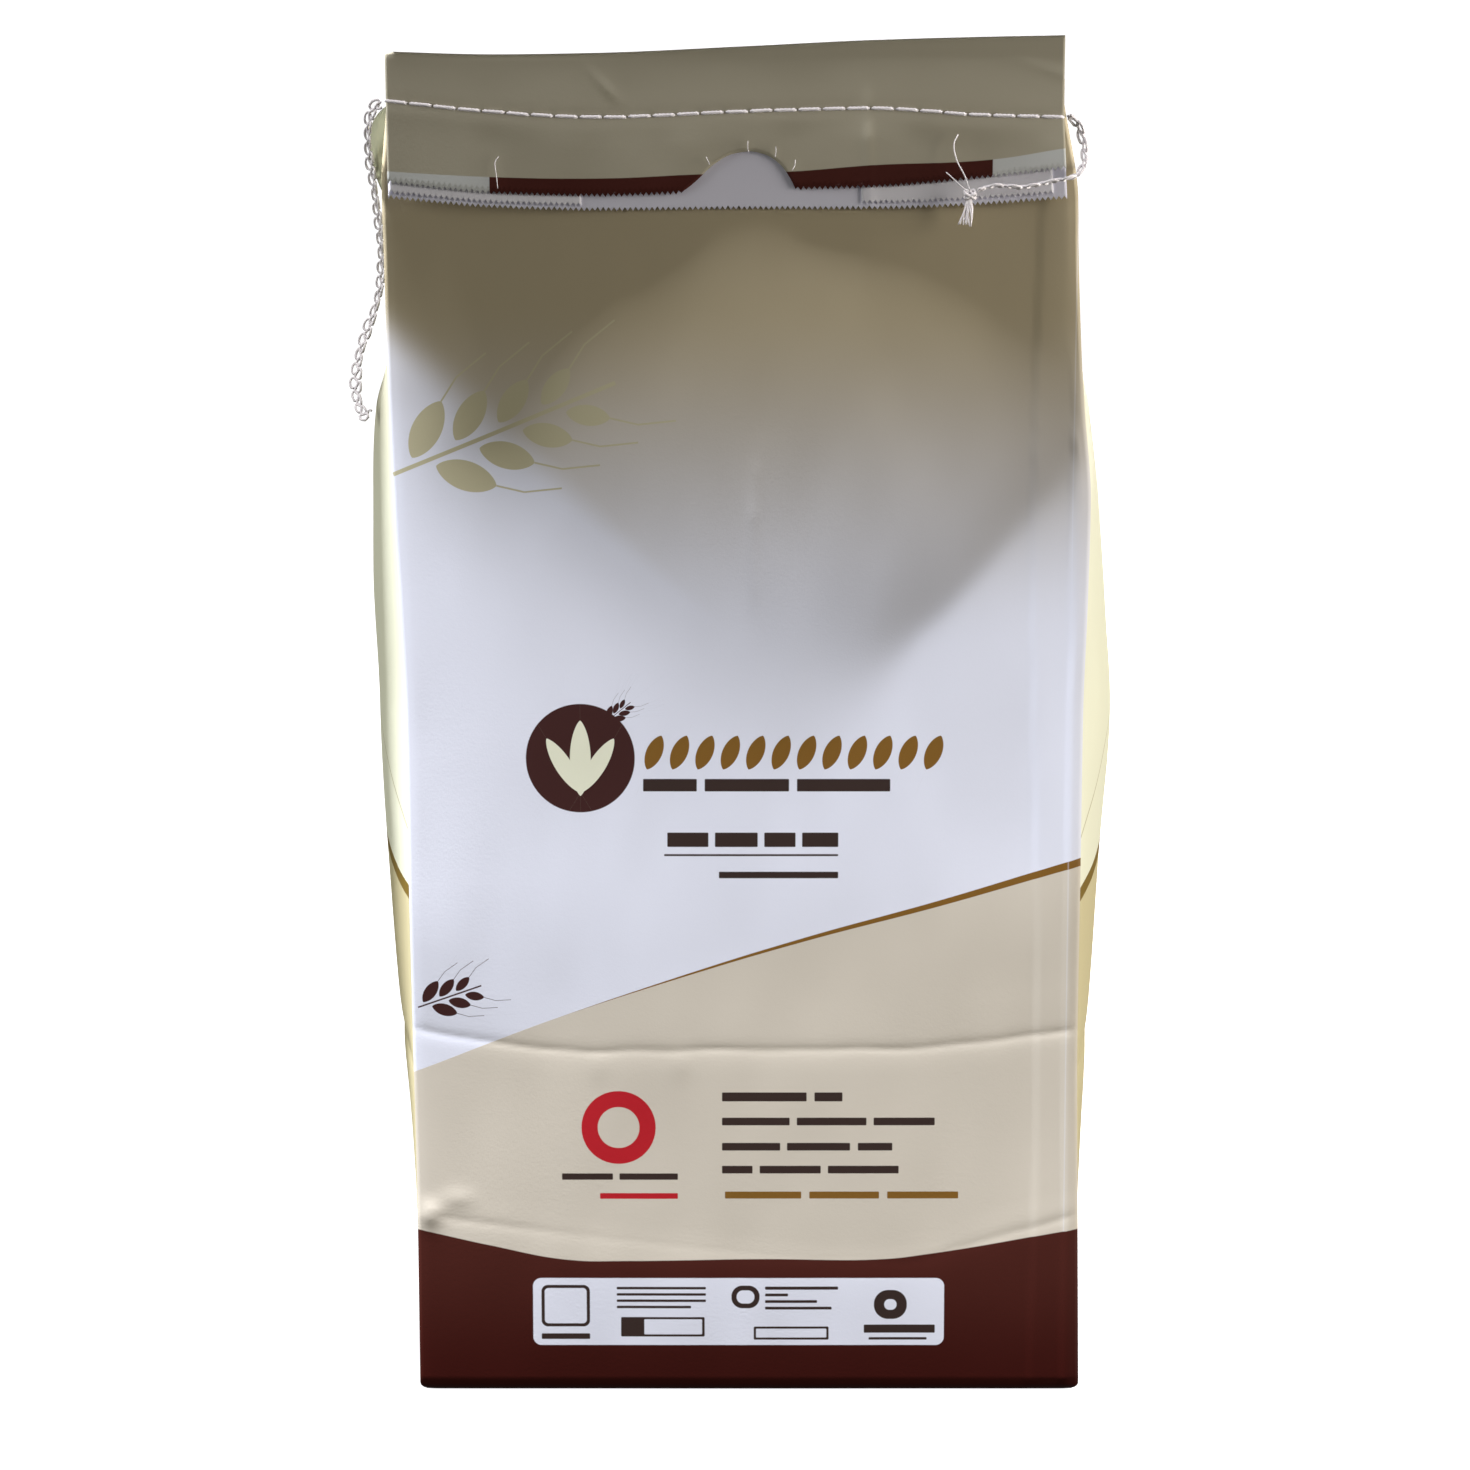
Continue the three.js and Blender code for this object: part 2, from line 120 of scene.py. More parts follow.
def smooth_step(at: Array, low: float, high: float) -> Array:
    """Rise smoothly from 0 at low to 1 at high.

    Args:
        at: Places to read it at.
        low: Where it leaves 0.
        high: Where it reaches 1. It may be less than low.

    Returns:
        The values there.
    """
    t = np.clip((at - low) / (high - low), 0, 1)
    return t * t * (3 - 2 * t)


def soft_ramp(value: Array, turn: Array) -> Array:
    """Stay near 0 below 0 and follow the value above it, with a round turn between."""
    return turn * np.logaddexp(0, value / turn)


def ridge(offset: Array, width: float) -> Array:
    """Fall from 1 on a line to 0 a few widths off it, with a round top."""
    return np.exp(-((offset / width) ** 2))


def crease(offset: Array, width: float) -> Array:
    """Fall from 1 on a line to 0 a few widths off it, with a sharp top."""
    return np.exp(-np.abs(offset) / width)


def grain(points: Array, scale: Sequence[float], seed: float) -> Array:
    """Read smooth random values at points.

    Args:
        points: Rows of x, y and z in millimetres.
        scale: Size of a wave along each axis, in millimetres.
        seed: Moves the pattern.

    Returns:
        A value from about -1 to 1 for every point.
    """
    wave = np.array(scale, float)
    return np.array([noise.noise(Vector(point / wave) + Vector((seed, seed, seed))) for point in points])


@dataclass(frozen=True)
class Swelling:
    """A small round rise of the paper: its place, its reach each way and its height."""

    x: float
    z: float
    wide: float
    high: float
    lift: float

    def height(self, x: Array, z: Array) -> Array:
        """Tell how far it lifts the paper at a point."""
        return self.lift * ridge(x - self.x, self.wide) * ridge(z - self.z, self.high)


@dataclass(frozen=True)
class Wrinkles:
    """Random waves of the paper: their height and length, and the heights they grow in between."""

    lift: float
    wave: tuple[float, float, float]
    seed: float
    grow: tuple[float, float]

    def height(self, points: Array) -> Array:
        """Tell how far they lift the paper at points."""
        return self.lift * grain(points, self.wave, self.seed) * smooth_step(points[..., 2], *self.grow)


# The form of the filled body

LEFT_FOLD = Track(
    (0, -102.2), (56, -102.4), (112, -103.2), (160, -103.8), (210, -104.2), (245, -105.5),
    (275, -107), (305, -108), (330, -108.6), (350, -108.7), (363, -108.9), (391, -106.6),
)
RIGHT_FOLD = Track(
    (0, 102.3), (56, 101.4), (112, 100.6), (160, 100.8), (210, 101), (245, 102),
    (275, 102.5), (305, 99.8), (330, 98.2), (350, 97.3), (363, 97), (391, 92.2),
)
BACK_PLACE = Track(
    (0, 57), (56, 59), (112, 58), (160, 61), (210, 62), (245, 58),
    (275, 44), (305, 16), (330, -19), (350, -55), (360, -63), (372, -63.3), (384, -65.1), (400, -65.1),
)
LEFT_BULGE = Track(
    (0, 2), (56, 5), (112, 10.8), (160, 14), (210, 16.5), (245, 16.3),
    (275, 13.5), (305, 9), (330, -6), (350, -13), (360, -10), (400, -8),
)
RIGHT_BULGE = Track(
    (0, 2), (56, 5), (112, 11.4), (160, 13.8), (210, 17), (245, 13),
    (275, 9), (305, 6.5), (330, -6), (350, -13), (360, -10), (400, -8),
)
MIDDLE_PROFILE = Track(
    (0, 61.5), (40, 61.7), (56, 61.6), (80, 61.61), (100, 61.62), (107, 61.6), (122, 61.6),
    (160, 61.7), (210, 61.85), (250, 61.9), (352, 62.2),
)
CORNER_PROFILE = Track(
    (0, 61.7), (44, 61.68), (49, 61.68), (60, 61.6), (100, 61.5), (107, 61.5), (122, 61.6),
    (160, 61.9), (210, 61.8), (250, 61.8), (300, 61.9), (316, 62), (352, 62),
)
SHOULDER = Track(
    (-108, 330), (-85, 306), (-50, 262), (-10, 236), (30, 226), (55, 240), (80, 267), (102, 290),
)
SHOULDER_TURN = Track(
    (-108, 3), (-85, 4), (-50, 10), (-10, 15), (30, 8), (55, 2.2), (80, 2.6), (102, 4),
)
NECK_DEPTH = Track(
    (-108, 64), (-85, 65), (-50, 66.6), (-10, 67.5), (30, 67.2), (55, 66.4), (80, 65.4), (102, 64.7),
)
PANEL_HALF, PANEL_MIDDLE = 105.0, -2.0
NECK, RAMP_END = 352.0, 360.0
CROWN = 0.4
TUCKED, TUCK_FROM, TUCK_FLAT, TUCK_TO = 66.3, 359.0, 364.0, 374.0
BROW, BROW_LENGTH = 0.8, 17.0
BROW_RISES = ((0.6, -70.0, 0.0), (0.4, 0.0, 50.0))
CORNER_FROM, CORNER_TO = 38.0, 98.0
BASE_ROUND, BASE_INSET = 2.6, 2.0
FOLD_SOFT, FOLD_WIDTH, FOLD_RELIEF = 0.3, 0.02, 0.35
RELIEF_FROM = 3.0
BACK_CROWN, BACK_START = 4.0, 232.0
BACK_WAVE = Wrinkles(0.8, (30, 1, 40), 4.4, (20, 80))
BACK_DENT, BACK_DENT_HEIGHT, BACK_DENT_REACH, BACK_DENT_HALF = 1.5, 108.0, 4.0, 30.0
GUSSET_ROUNDNESS = 1.8
GUSSET_WAVE = Wrinkles(0.7, (1, 30, 50), 2.2, (-1, 0))
GUSSET_PLEAT, GUSSET_PLEAT_WIDTH, GUSSET_PLEAT_SPAN = 0.9, 0.05, (250.0, 120.0)
GUSSET_CREASE, GUSSET_CREASE_HEIGHT, GUSSET_CREASE_SLOPE, GUSSET_CREASE_WIDTH = 1.1, 112.0, 10.0, 4.0

# The folds of the front panel

UPPER_CREASE = Track(
    (-103, 114.2), (-79.5, 110.1), (-46.4, 107), (-21.3, 107.6), (44, 107.9), (99.8, 113.9),
)
LOWER_CREASE = Track(
    (-102, 58.1), (-99, 56.2), (-74.5, 52.4), (-49.8, 49), (-20, 46), (20, 42), (46.6, 41),
    (72.8, 48), (100.5, 55.9),
)
CREASE_BENDS = ((LOWER_CREASE, 50.0, 20.0), (UPPER_CREASE, 107.5, 22.0))
JITTER, JITTER_WAVE, JITTER_SEED = 0.5, (14, 1, 60), 3.1
UPPER_DEPTH, UPPER_WIDTH = 0.1, 1.4
LOWER_DEPTH, LOWER_CORNER_DEPTH, LOWER_WIDTH = 0.02, 0.06, 1.6
BREAKS, BREAK_WIDTH = (-46.0, -21.0), 3.0
BREAK_LIFT, BREAK_DROP, BREAK_HEIGHT = 0.05, 4.0, 5.0
PINCH_X, PINCH_SWING, PINCH_FROM, PINCH_WAVE = 2.0, 1.3, 240.0, 14.0
PINCH_LIFT, PINCH_WIDTH, PINCH_RISE, PINCH_FALL = 0.16, 0.9, (236.0, 262.0), (300.0, 268.0)
SWELLINGS = (Swelling(-99, 56, 4, 3.5, 0.3), Swelling(-90, 61, 5, 3, 0.1))
WRINKLES = (
    Wrinkles(0.2, (34, 1, 60), 7.7, (60, 130)), Wrinkles(0.06, (11, 1, 34), 1.3, (-1, 0)),
    Wrinkles(0.09, (16, 1, 70), 5.2, (300, 350)),
)

# The glued edges that show through the front panel at its right

GLUED_EDGE, GLUED_LIFT, GLUED_HALF, GLUED_END = 97.0, 0.4, 0.5, (104.0, 101.0)
GLUED_SHIFT, GLUED_SHIFT_SPAN = 0.6, (290.0, 330.0)
LAYER_EDGE, LAYER_LIFT, LAYER_HALF = 86.5, 0.3, 0.7
LAYER_SWING, LAYER_WAVE = 1.6, 60.0

# The sewn mouth

FOLD_LINE = Track(
    (-106, 405.4), (-75, 404.6), (-45, 405), (0, 406.9), (36, 408.6), (68, 409.5), (94, 410),
)
SEAM_LINE = Track(
    (-106, 391), (-75, 387.9), (-45, 386.4), (0, 388.1), (36, 388.9), (68, 387), (94, 386.4),
)
OUTER_EDGE = Track(
    (-106, 367.4), (-75, 364.5), (-45, 363.8), (0, 365.4), (36, 366.3), (68, 368.9), (94, 371.7),
)
INNER_EDGE = Track(
    (-106, 363.4), (-75, 360.7), (-45, 359.9), (0, 360.3), (36, 360.3), (68, 361.6), (94, 363.4),
)
NOTCH = Track(
    (-20.5, 0), (-15.7, 3.4), (-10.2, 8), (-4.5, 10.8), (0.5, 11.4), (5, 10.4), (9.3, 7.6),
    (12.6, 2.8), (13.8, 0),
)
FLAP_LEFT, FLAP_RIGHT_TOP, FLAP_RIGHT_BOTTOM = -106.3, 91.6, 93.6
FLAP_FRONT, FLAP_BACK, FOLD_MIDDLE = -69.8, -64.2, -67.0
FLAP_SPREAD = 30.0
FLAP_SWING = 0.009
FLAP_WAVES = (Wrinkles(0.3, (30, 1, 44), 9.1, (-1, 0)), Wrinkles(0.06, (9, 1, 24), 2.9, (-1, 0)))
PUCKER, PUCKER_REACH = 0.05, 1.6
STREAK_LIFT = 0.3
FOLD_ROUND, FOLD_SQUARE = 1.3, 0.6
PAPER_THICKNESS = 0.28
TOOTH_PITCH, TOOTH_DEPTH = 1.6, 1.1
CROWN_LEAN, CROWN_LEAN_FROM = 0.064, 362.0
EDGE_LOW, EDGE_HIGH, EDGE_GAP = 357.0, 393.4, 0.4
EDGE_WIDTH = Track(
    (357, 0.6), (361, 1.4), (366, 3.1), (371, 5.2), (376, 6.7), (382, 7.2), (387, 6.6),
    (391, 4.2), (393.4, 0.8),
)


def corner_share(x: Array) -> Array:
    """Tell how much the shape of the front panel's corners counts, from 0 in its middle to 1."""
    return smooth_step(np.abs(x - PANEL_MIDDLE), CORNER_FROM, CORNER_TO)


def front_depth(x: Array, z: Array) -> Array:
    """Tell how far the front panel stands forward of the middle plane, without its small folds.

    Args:
        x: Places across the panel, in millimetres.
        z: Heights.

    Returns:
        The distances in millimetres.
    """
    bent = z
    for line, height, reach in CREASE_BENDS:
        bent = bent - (line(x) - height) * ridge(z - height, reach)
    corner, shoulder = corner_share(x), SHOULDER(x)
    body = (1 - corner) * MIDDLE_PROFILE(bent) + corner * CORNER_PROFILE(bent)
    lean = (NECK_DEPTH(x) - body) / (NECK - shoulder)
    ramp = soft_ramp(np.minimum(z, RAMP_END) - shoulder, SHOULDER_TURN(x))
    spread = sum(share * smooth_step(x, low, high) for share, low, high in BROW_RISES)
    brow = BROW * (1 - np.exp(-ramp / BROW_LENGTH)) * spread
    crown = CROWN * (1 - np.minimum(1, (x / PANEL_HALF) ** 2))
    depth = body + crown + lean * ramp + brow
    depth -= np.maximum(0, depth - TUCKED) * smooth_step(z, TUCK_FROM, TUCK_FLAT)
    return depth + (TUCKED - depth) * smooth_step(z, TUCK_FLAT, TUCK_TO)


def front_relief(x: Array, z: Array) -> Array:
    """Tell how far folds, dents and glued edges lift the front panel towards the viewer.

    Args:
        x: Places across the panel, in millimetres.
        z: Heights.

    Returns:
        The distances in millimetres.
    """
    points = np.stack((x, np.zeros_like(x), z), axis=-1)
    jitter = JITTER * grain(points, JITTER_WAVE, JITTER_SEED)
    to_upper, to_lower = (z - line(x) - jitter for line in (UPPER_CREASE, LOWER_CREASE))
    breaks = sum(ridge(x - place, BREAK_WIDTH) for place in BREAKS)
    lift = BREAK_LIFT * breaks * ridge(to_upper + BREAK_DROP, BREAK_HEIGHT)
    lift -= UPPER_DEPTH * crease(to_upper, UPPER_WIDTH)
    lift -= (LOWER_CORNER_DEPTH * corner_share(x) + LOWER_DEPTH) * crease(to_lower, LOWER_WIDTH)
    pinch = x - PINCH_X + PINCH_SWING * np.sin((z - PINCH_FROM) / PINCH_WAVE)
    pinched = smooth_step(z, *PINCH_RISE) * smooth_step(z, *PINCH_FALL)
    lift += PINCH_LIFT * crease(pinch, PINCH_WIDTH) * pinched
    glued = GLUED_EDGE - GLUED_SHIFT * smooth_step(z, *GLUED_SHIFT_SPAN)
    lift += GLUED_LIFT * smooth_step(x, glued - GLUED_HALF, glued + GLUED_HALF) * smooth_step(x, *GLUED_END)
    layer = LAYER_EDGE + LAYER_SWING * np.sin(z / LAYER_WAVE)
    lift += LAYER_LIFT * smooth_step(x, layer - LAYER_HALF, layer + LAYER_HALF)
    lift += sum(swelling.height(x, z) for swelling in SWELLINGS)
    return lift + sum(wrinkles.height(points) for wrinkles in WRINKLES)


Section = tuple[Array, Array, Array, Array]


def front_wall(t: Array, z: Array, left: Array, right: Array, inset: Array) -> Section:
    """Place points of the front panel, as skin_section does.

    Args:
        t: How far along the panel they are, from 0 to 1.
        z: Their heights.
        left: Where the panel's left fold is.
        right: Where its right fold is.
        inset: How far the base edge draws in.

    Returns:
        Their x, y and z, and their places along the paper.
    """
    x = left + (right - left) * t
    edge = smooth_step(t, 0, FOLD_WIDTH) * smooth_step(t, 1, 1 - FOLD_WIDTH)
    lift = front_relief(x, z) * smooth_step(z, 0, RELIEF_FROM) * (FOLD_RELIEF + (1 - FOLD_RELIEF) * edge)
    return x, inset - front_depth(x, z) - lift + FOLD_SOFT * (1 - edge) ** 2, z, x


def back_wall(t: Array, z: Array, left: Array, right: Array, back: Array) -> Section:
    """Place points of the back panel, as skin_section does.

    Args:
        t: How far along the panel they are, from 0 to 1.
        z: Their heights.
        left: Where the panel's left fold is.
        right: Where its right fold is.
        back: Where the panel is, without its bulge.

    Returns:
        Their x, y and z, and their places along the paper.
    """
    x = right + (left - right) * t
    middle = t * (1 - t)
    crown = BACK_CROWN * smooth_step(z, 0, 60) * smooth_step(z, 345, 250) * 4 * middle
    points = np.stack((x, np.full_like(x, 90.0), z), axis=-1)
    wave = BACK_WAVE.height(points) * smooth_step(middle, 0, 0.1)
    dent = ridge(z - BACK_DENT_HEIGHT, BACK_DENT_REACH) * smooth_step(np.abs(x), BACK_DENT_HALF, 0)
    return x, back + crown + wave - BACK_DENT * dent, z, BACK_START + (right - x)


def gusset_wall(outward: int, u: Array, z: Array, fold_x: Array, back: Array, inset: Array) -> Section:
    """Place points of a gusset, as skin_section does.

    Args:
        outward: 1 for the right gusset, -1 for the left one.
        u: How far each point is from the front fold, from 0 to 1.
        z: The points' heights.
        fold_x: Where the front fold is.
        back: Where the back fold is.
        inset: How far the base edge draws in.

    Returns:
        Their x, y and z, and their places along the paper.
    """
    bulge = (RIGHT_BULGE if outward > 0 else LEFT_BULGE)(z)
    relief = FOLD_RELIEF * front_relief(fold_x, z) * smooth_step(z, 0, RELIEF_FROM)
    fold_y = inset + FOLD_SOFT - front_depth(fold_x, z) - relief
    off_middle = np.abs(2 * u - 1)
    shape = np.where(bulge > 0, 1 - off_middle**GUSSET_ROUNDNESS, 1 - off_middle)
    y = fold_y + (back - fold_y) * u
    points = np.stack((np.full_like(y, 60.0 * outward), y, z), axis=-1)
    inside = smooth_step(u * (1 - u), 0, 0.12) * smooth_step(z, 8, 40)
    pleat = GUSSET_PLEAT * ridge(off_middle, GUSSET_PLEAT_WIDTH) * smooth_step(z, *GUSSET_PLEAT_SPAN)
    fold = GUSSET_CREASE * crease(
        z - GUSSET_CREASE_HEIGHT + GUSSET_CREASE_SLOPE * off_middle, GUSSET_CREASE_WIDTH
    )
    wave = GUSSET_WAVE.height(points) - pleat - fold
    x = fold_x + outward * (bulge * shape + wave * inside)
    return x, y, z, outward * (np.abs(fold_x) + (y - fold_y))


def skin_section(panel: Panel, t: Array, z: Array) -> Section:
    """Place points of the bag's wall.

    Args:
        panel: The wall that they are on.
        t: How far along the wall they are, from 0 to 1, anticlockwise from above.
        z: Their heights.

    Returns:
        Their x, y and z, and how far each is from the front panel's middle along the paper.
    """
    inset = BASE_INSET * np.maximum(0, 1 - z / BASE_ROUND) ** 2
    left, right, back = LEFT_FOLD(z) + inset, RIGHT_FOLD(z) - inset, BACK_PLACE(z) - inset
    if panel is Panel.FRONT:
        return front_wall(t, z, left, right, inset)
    if panel is Panel.BACK:
        return back_wall(t, z, left, right, back)
    if panel is Panel.RIGHT:
        return gusset_wall(1, t, z, right, back, inset)
    return gusset_wall(-1, 1 - t, z, left, back, inset)


class Builder:
    """Turns drawings in millimetres into objects of the shared frame."""

    def __init__(self, shift: Vector) -> None:
        """Take the place of the drawings' origin.

        Args:
            shift: The origin of the drawings in the row frame, in metres.
        """
        self.shift = shift

    def place(self, point: Sequence[float]) -> Vector:
        """Turn one drawn point into the row frame."""
        return Vector(point) * MM + self.shift

    def finish(
        self, name: str, mesh: bmesh.types.BMesh, slot: Slot, nodes: Sequence[str] = ()
    ) -> bpy.types.Object:
        """Make an object of a drawn mesh.

        Args:
            name: Its name.
            mesh: The mesh in millimetres, which is freed.
            slot: The material slot meant for its finish; it is not used.
            nodes: The CAD nodes that it stands for.

        Returns:
            The object, at the origin of the row frame.
        """
        for vertex in mesh.verts:
            vertex.co = self.place(vertex.co)
        data = bpy.data.meshes.new(name)
        mesh.to_mesh(data)
        mesh.free()
        data.shade_smooth()
        made = bpy.data.objects.new(name, data)
        bpy.context.scene.collection.objects.link(made)
        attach(made, "root")
        if nodes:
            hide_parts(*nodes)
        return made


def grid(columns: int, rows: int) -> bmesh.types.BMesh:
    """Make a flat grid from 0 to 1 in x and y, one face to each cell.

    Args:
        columns: Cells along x.
        rows: Cells along y.

    Returns:
        The grid.
    """
    mesh = bmesh.new()
    bmesh.ops.create_grid(mesh, x_segments=columns, y_segments=rows, size=0.5)
    bmesh.ops.translate(mesh, verts=mesh.verts, vec=(0.5, 0.5, 0))
    return mesh


def grid_places(mesh: bmesh.types.BMesh) -> Array:
    """Read the x and y of every vertex."""
    return np.array([vertex.co.xy for vertex in mesh.verts])


def set_uv(mesh: bmesh.types.BMesh, name: str, places: Array) -> None:
    """Give every face corner the place of its vertex in a UV map.

    Args:
        mesh: The mesh.
        name: The map's name.
        places: The place of every vertex.
    """
    layer = mesh.loops.layers.uv.new(name)
    for face in mesh.faces:
        for loop in face.loops:
            loop[layer].uv = places[loop.vert.index]


def move(mesh: bmesh.types.BMesh, points: Array) -> None:
    """Move every vertex to its point."""
    for vertex, point in zip(mesh.verts, points, strict=True):
        vertex.co = point


class Skin:
    """The bag's outer wall from the base to the mouth's fold."""

    COLUMNS = {Panel.FRONT: 150, Panel.RIGHT: 36, Panel.BACK: 60, Panel.LEFT: 36}
    TOP = 398.0
    BASE_ROWS = 4
    ROWS = ((36, 2.2), (66, 1.0), (98, 1.9), (124, 0.9), (232, 2.2), (352, 1.7), (TOP, 2.4))
    CROWDING = 0.0175

    def __init__(self, builder: Builder) -> None:
        """Take the builder of the shared frame."""
        self.builder = builder

    def heights(self) -> Array:
        """List the heights of the rows, close together at the base edge and the creases.

        Returns:
            The heights, from the base up.
        """
        parts = [np.linspace(0, BASE_ROUND, self.BASE_ROWS)]
        low = BASE_ROUND
        for high, step in self.ROWS:
            parts.append(np.linspace(low, high, round((high - low) / step) + 1)[1:])
            low = high
        return np.concatenate(parts)

    def bake_caps(self, mesh: bmesh.types.BMesh) -> None:
        """Lay the base and the top out below the wall in the second UV map.

        Args:
            mesh: The closed wall.
        """
        bake = mesh.loops.layers.uv["OFBake"]
        for face in mesh.faces:
            if len(face.verts) <= 4:
                continue
            middle = 0.25 if face.calc_center_median().z < 1 else 0.75
            for loop in face.loops:
                loop[bake].uv = (middle + loop.vert.co.x / 560, 0.08 + loop.vert.co.y / 900)

    def build(self) -> bpy.types.Object:
        """Build the wall, closed below and above.

        Returns:
            The wall.
        """
        heights = self.heights()
        total = sum(self.COLUMNS.values())
        mesh = grid(total, len(heights) - 1)
        places = grid_places(mesh)
        column = np.rint(places[:, 0] * total).astype(int)
        z = heights[np.rint(places[:, 1] * (len(heights) - 1)).astype(int)]
        points, paper, side = np.zeros((len(z), 3)), np.zeros((len(z), 2)), np.ones(len(z))
        first = 0
        for panel, count in self.COLUMNS.items():
            last = first + count
            chosen = (column >= first) & (column < last + (last == total))
            t = (column[chosen] - first) / count
            if panel is Panel.FRONT:
                t = t - self.CROWDING * np.sin(2 * np.pi * t)
                side[chosen] = 0
            x, y, height, along = skin_section(panel, t, z[chosen])
            points[chosen] = np.stack((x, y - crown_lean(height), height), axis=-1)
            paper[chosen] = np.stack((along, height), axis=-1) * MM
            first = last
        side[np.isin(column, (0, self.COLUMNS[Panel.FRONT], total))] = 0.5
        set_uv(mesh, "paper", paper)
        set_uv(mesh, "OFBake", np.stack((0.01 + 0.98 * places[:, 0], 0.17 + 0.82 * z / self.TOP), axis=-1))
        layer = mesh.verts.layers.float.new("side")
        for vertex, value in zip(mesh.verts, side, strict=True):
            vertex[layer] = value
        move(mesh, points)
        bmesh.ops.remove_doubles(mesh, verts=mesh.verts, dist=0.02)
        bmesh.ops.holes_fill(mesh, edges=[edge for edge in mesh.edges if edge.is_boundary], sides=0)
        bmesh.ops.recalc_face_normals(mesh, faces=mesh.faces)
        self.bake_caps(mesh)
        return self.builder.finish("bag_skin", mesh, Slot.PAPER, ["bag"])


@dataclass(frozen=True)
class Sheet:
    """One paper layer of the flap."""

    name: str
    edge: Track
    front: float
    top: float
    over_fold: bool = False
    notched: bool = False
    left: float = FLAP_LEFT
    right: float = FLAP_RIGHT_BOTTOM
    drop: float = 0.0


def crown_lean(z: Array) -> Array:
    """Tell how far the folded mouth leans forward at a height."""
    return CROWN_LEAN * np.maximum(0, z - CROWN_LEAN_FROM)


def flap_edges(z: Array) -> tuple[float, Array]:
    """Tell where the flap's side edges are at a height."""
    down = np.clip((SEAM_LINE(0.0) - z) / FLAP_SPREAD, 0, 1)
    return FLAP_LEFT, FLAP_RIGHT_TOP + (FLAP_RIGHT_BOTTOM - FLAP_RIGHT_TOP) * down


@dataclass(frozen=True)
class Streak:
    """A straight fold across the flap: a point on it, its slope, and where it fades out.

    A fade is the axis that it reads, 0 for x or 1 for z, and its two ends.
    """

    point: tuple[float, float]
    slope: float
    width: float
    lift: float
    fades: tuple[tuple[int, float, float], ...]

    def height(self, x: Array, z: Array) -> Array:
        """Tell how far it lifts the paper at a point."""
        height = self.lift * ridge(x - self.point[0] + self.slope * (z - self.point[1]), self.width)
        for axis, low, high in self.fades:
            height = height * smooth_step((x, z)[axis], low, high)
        return height


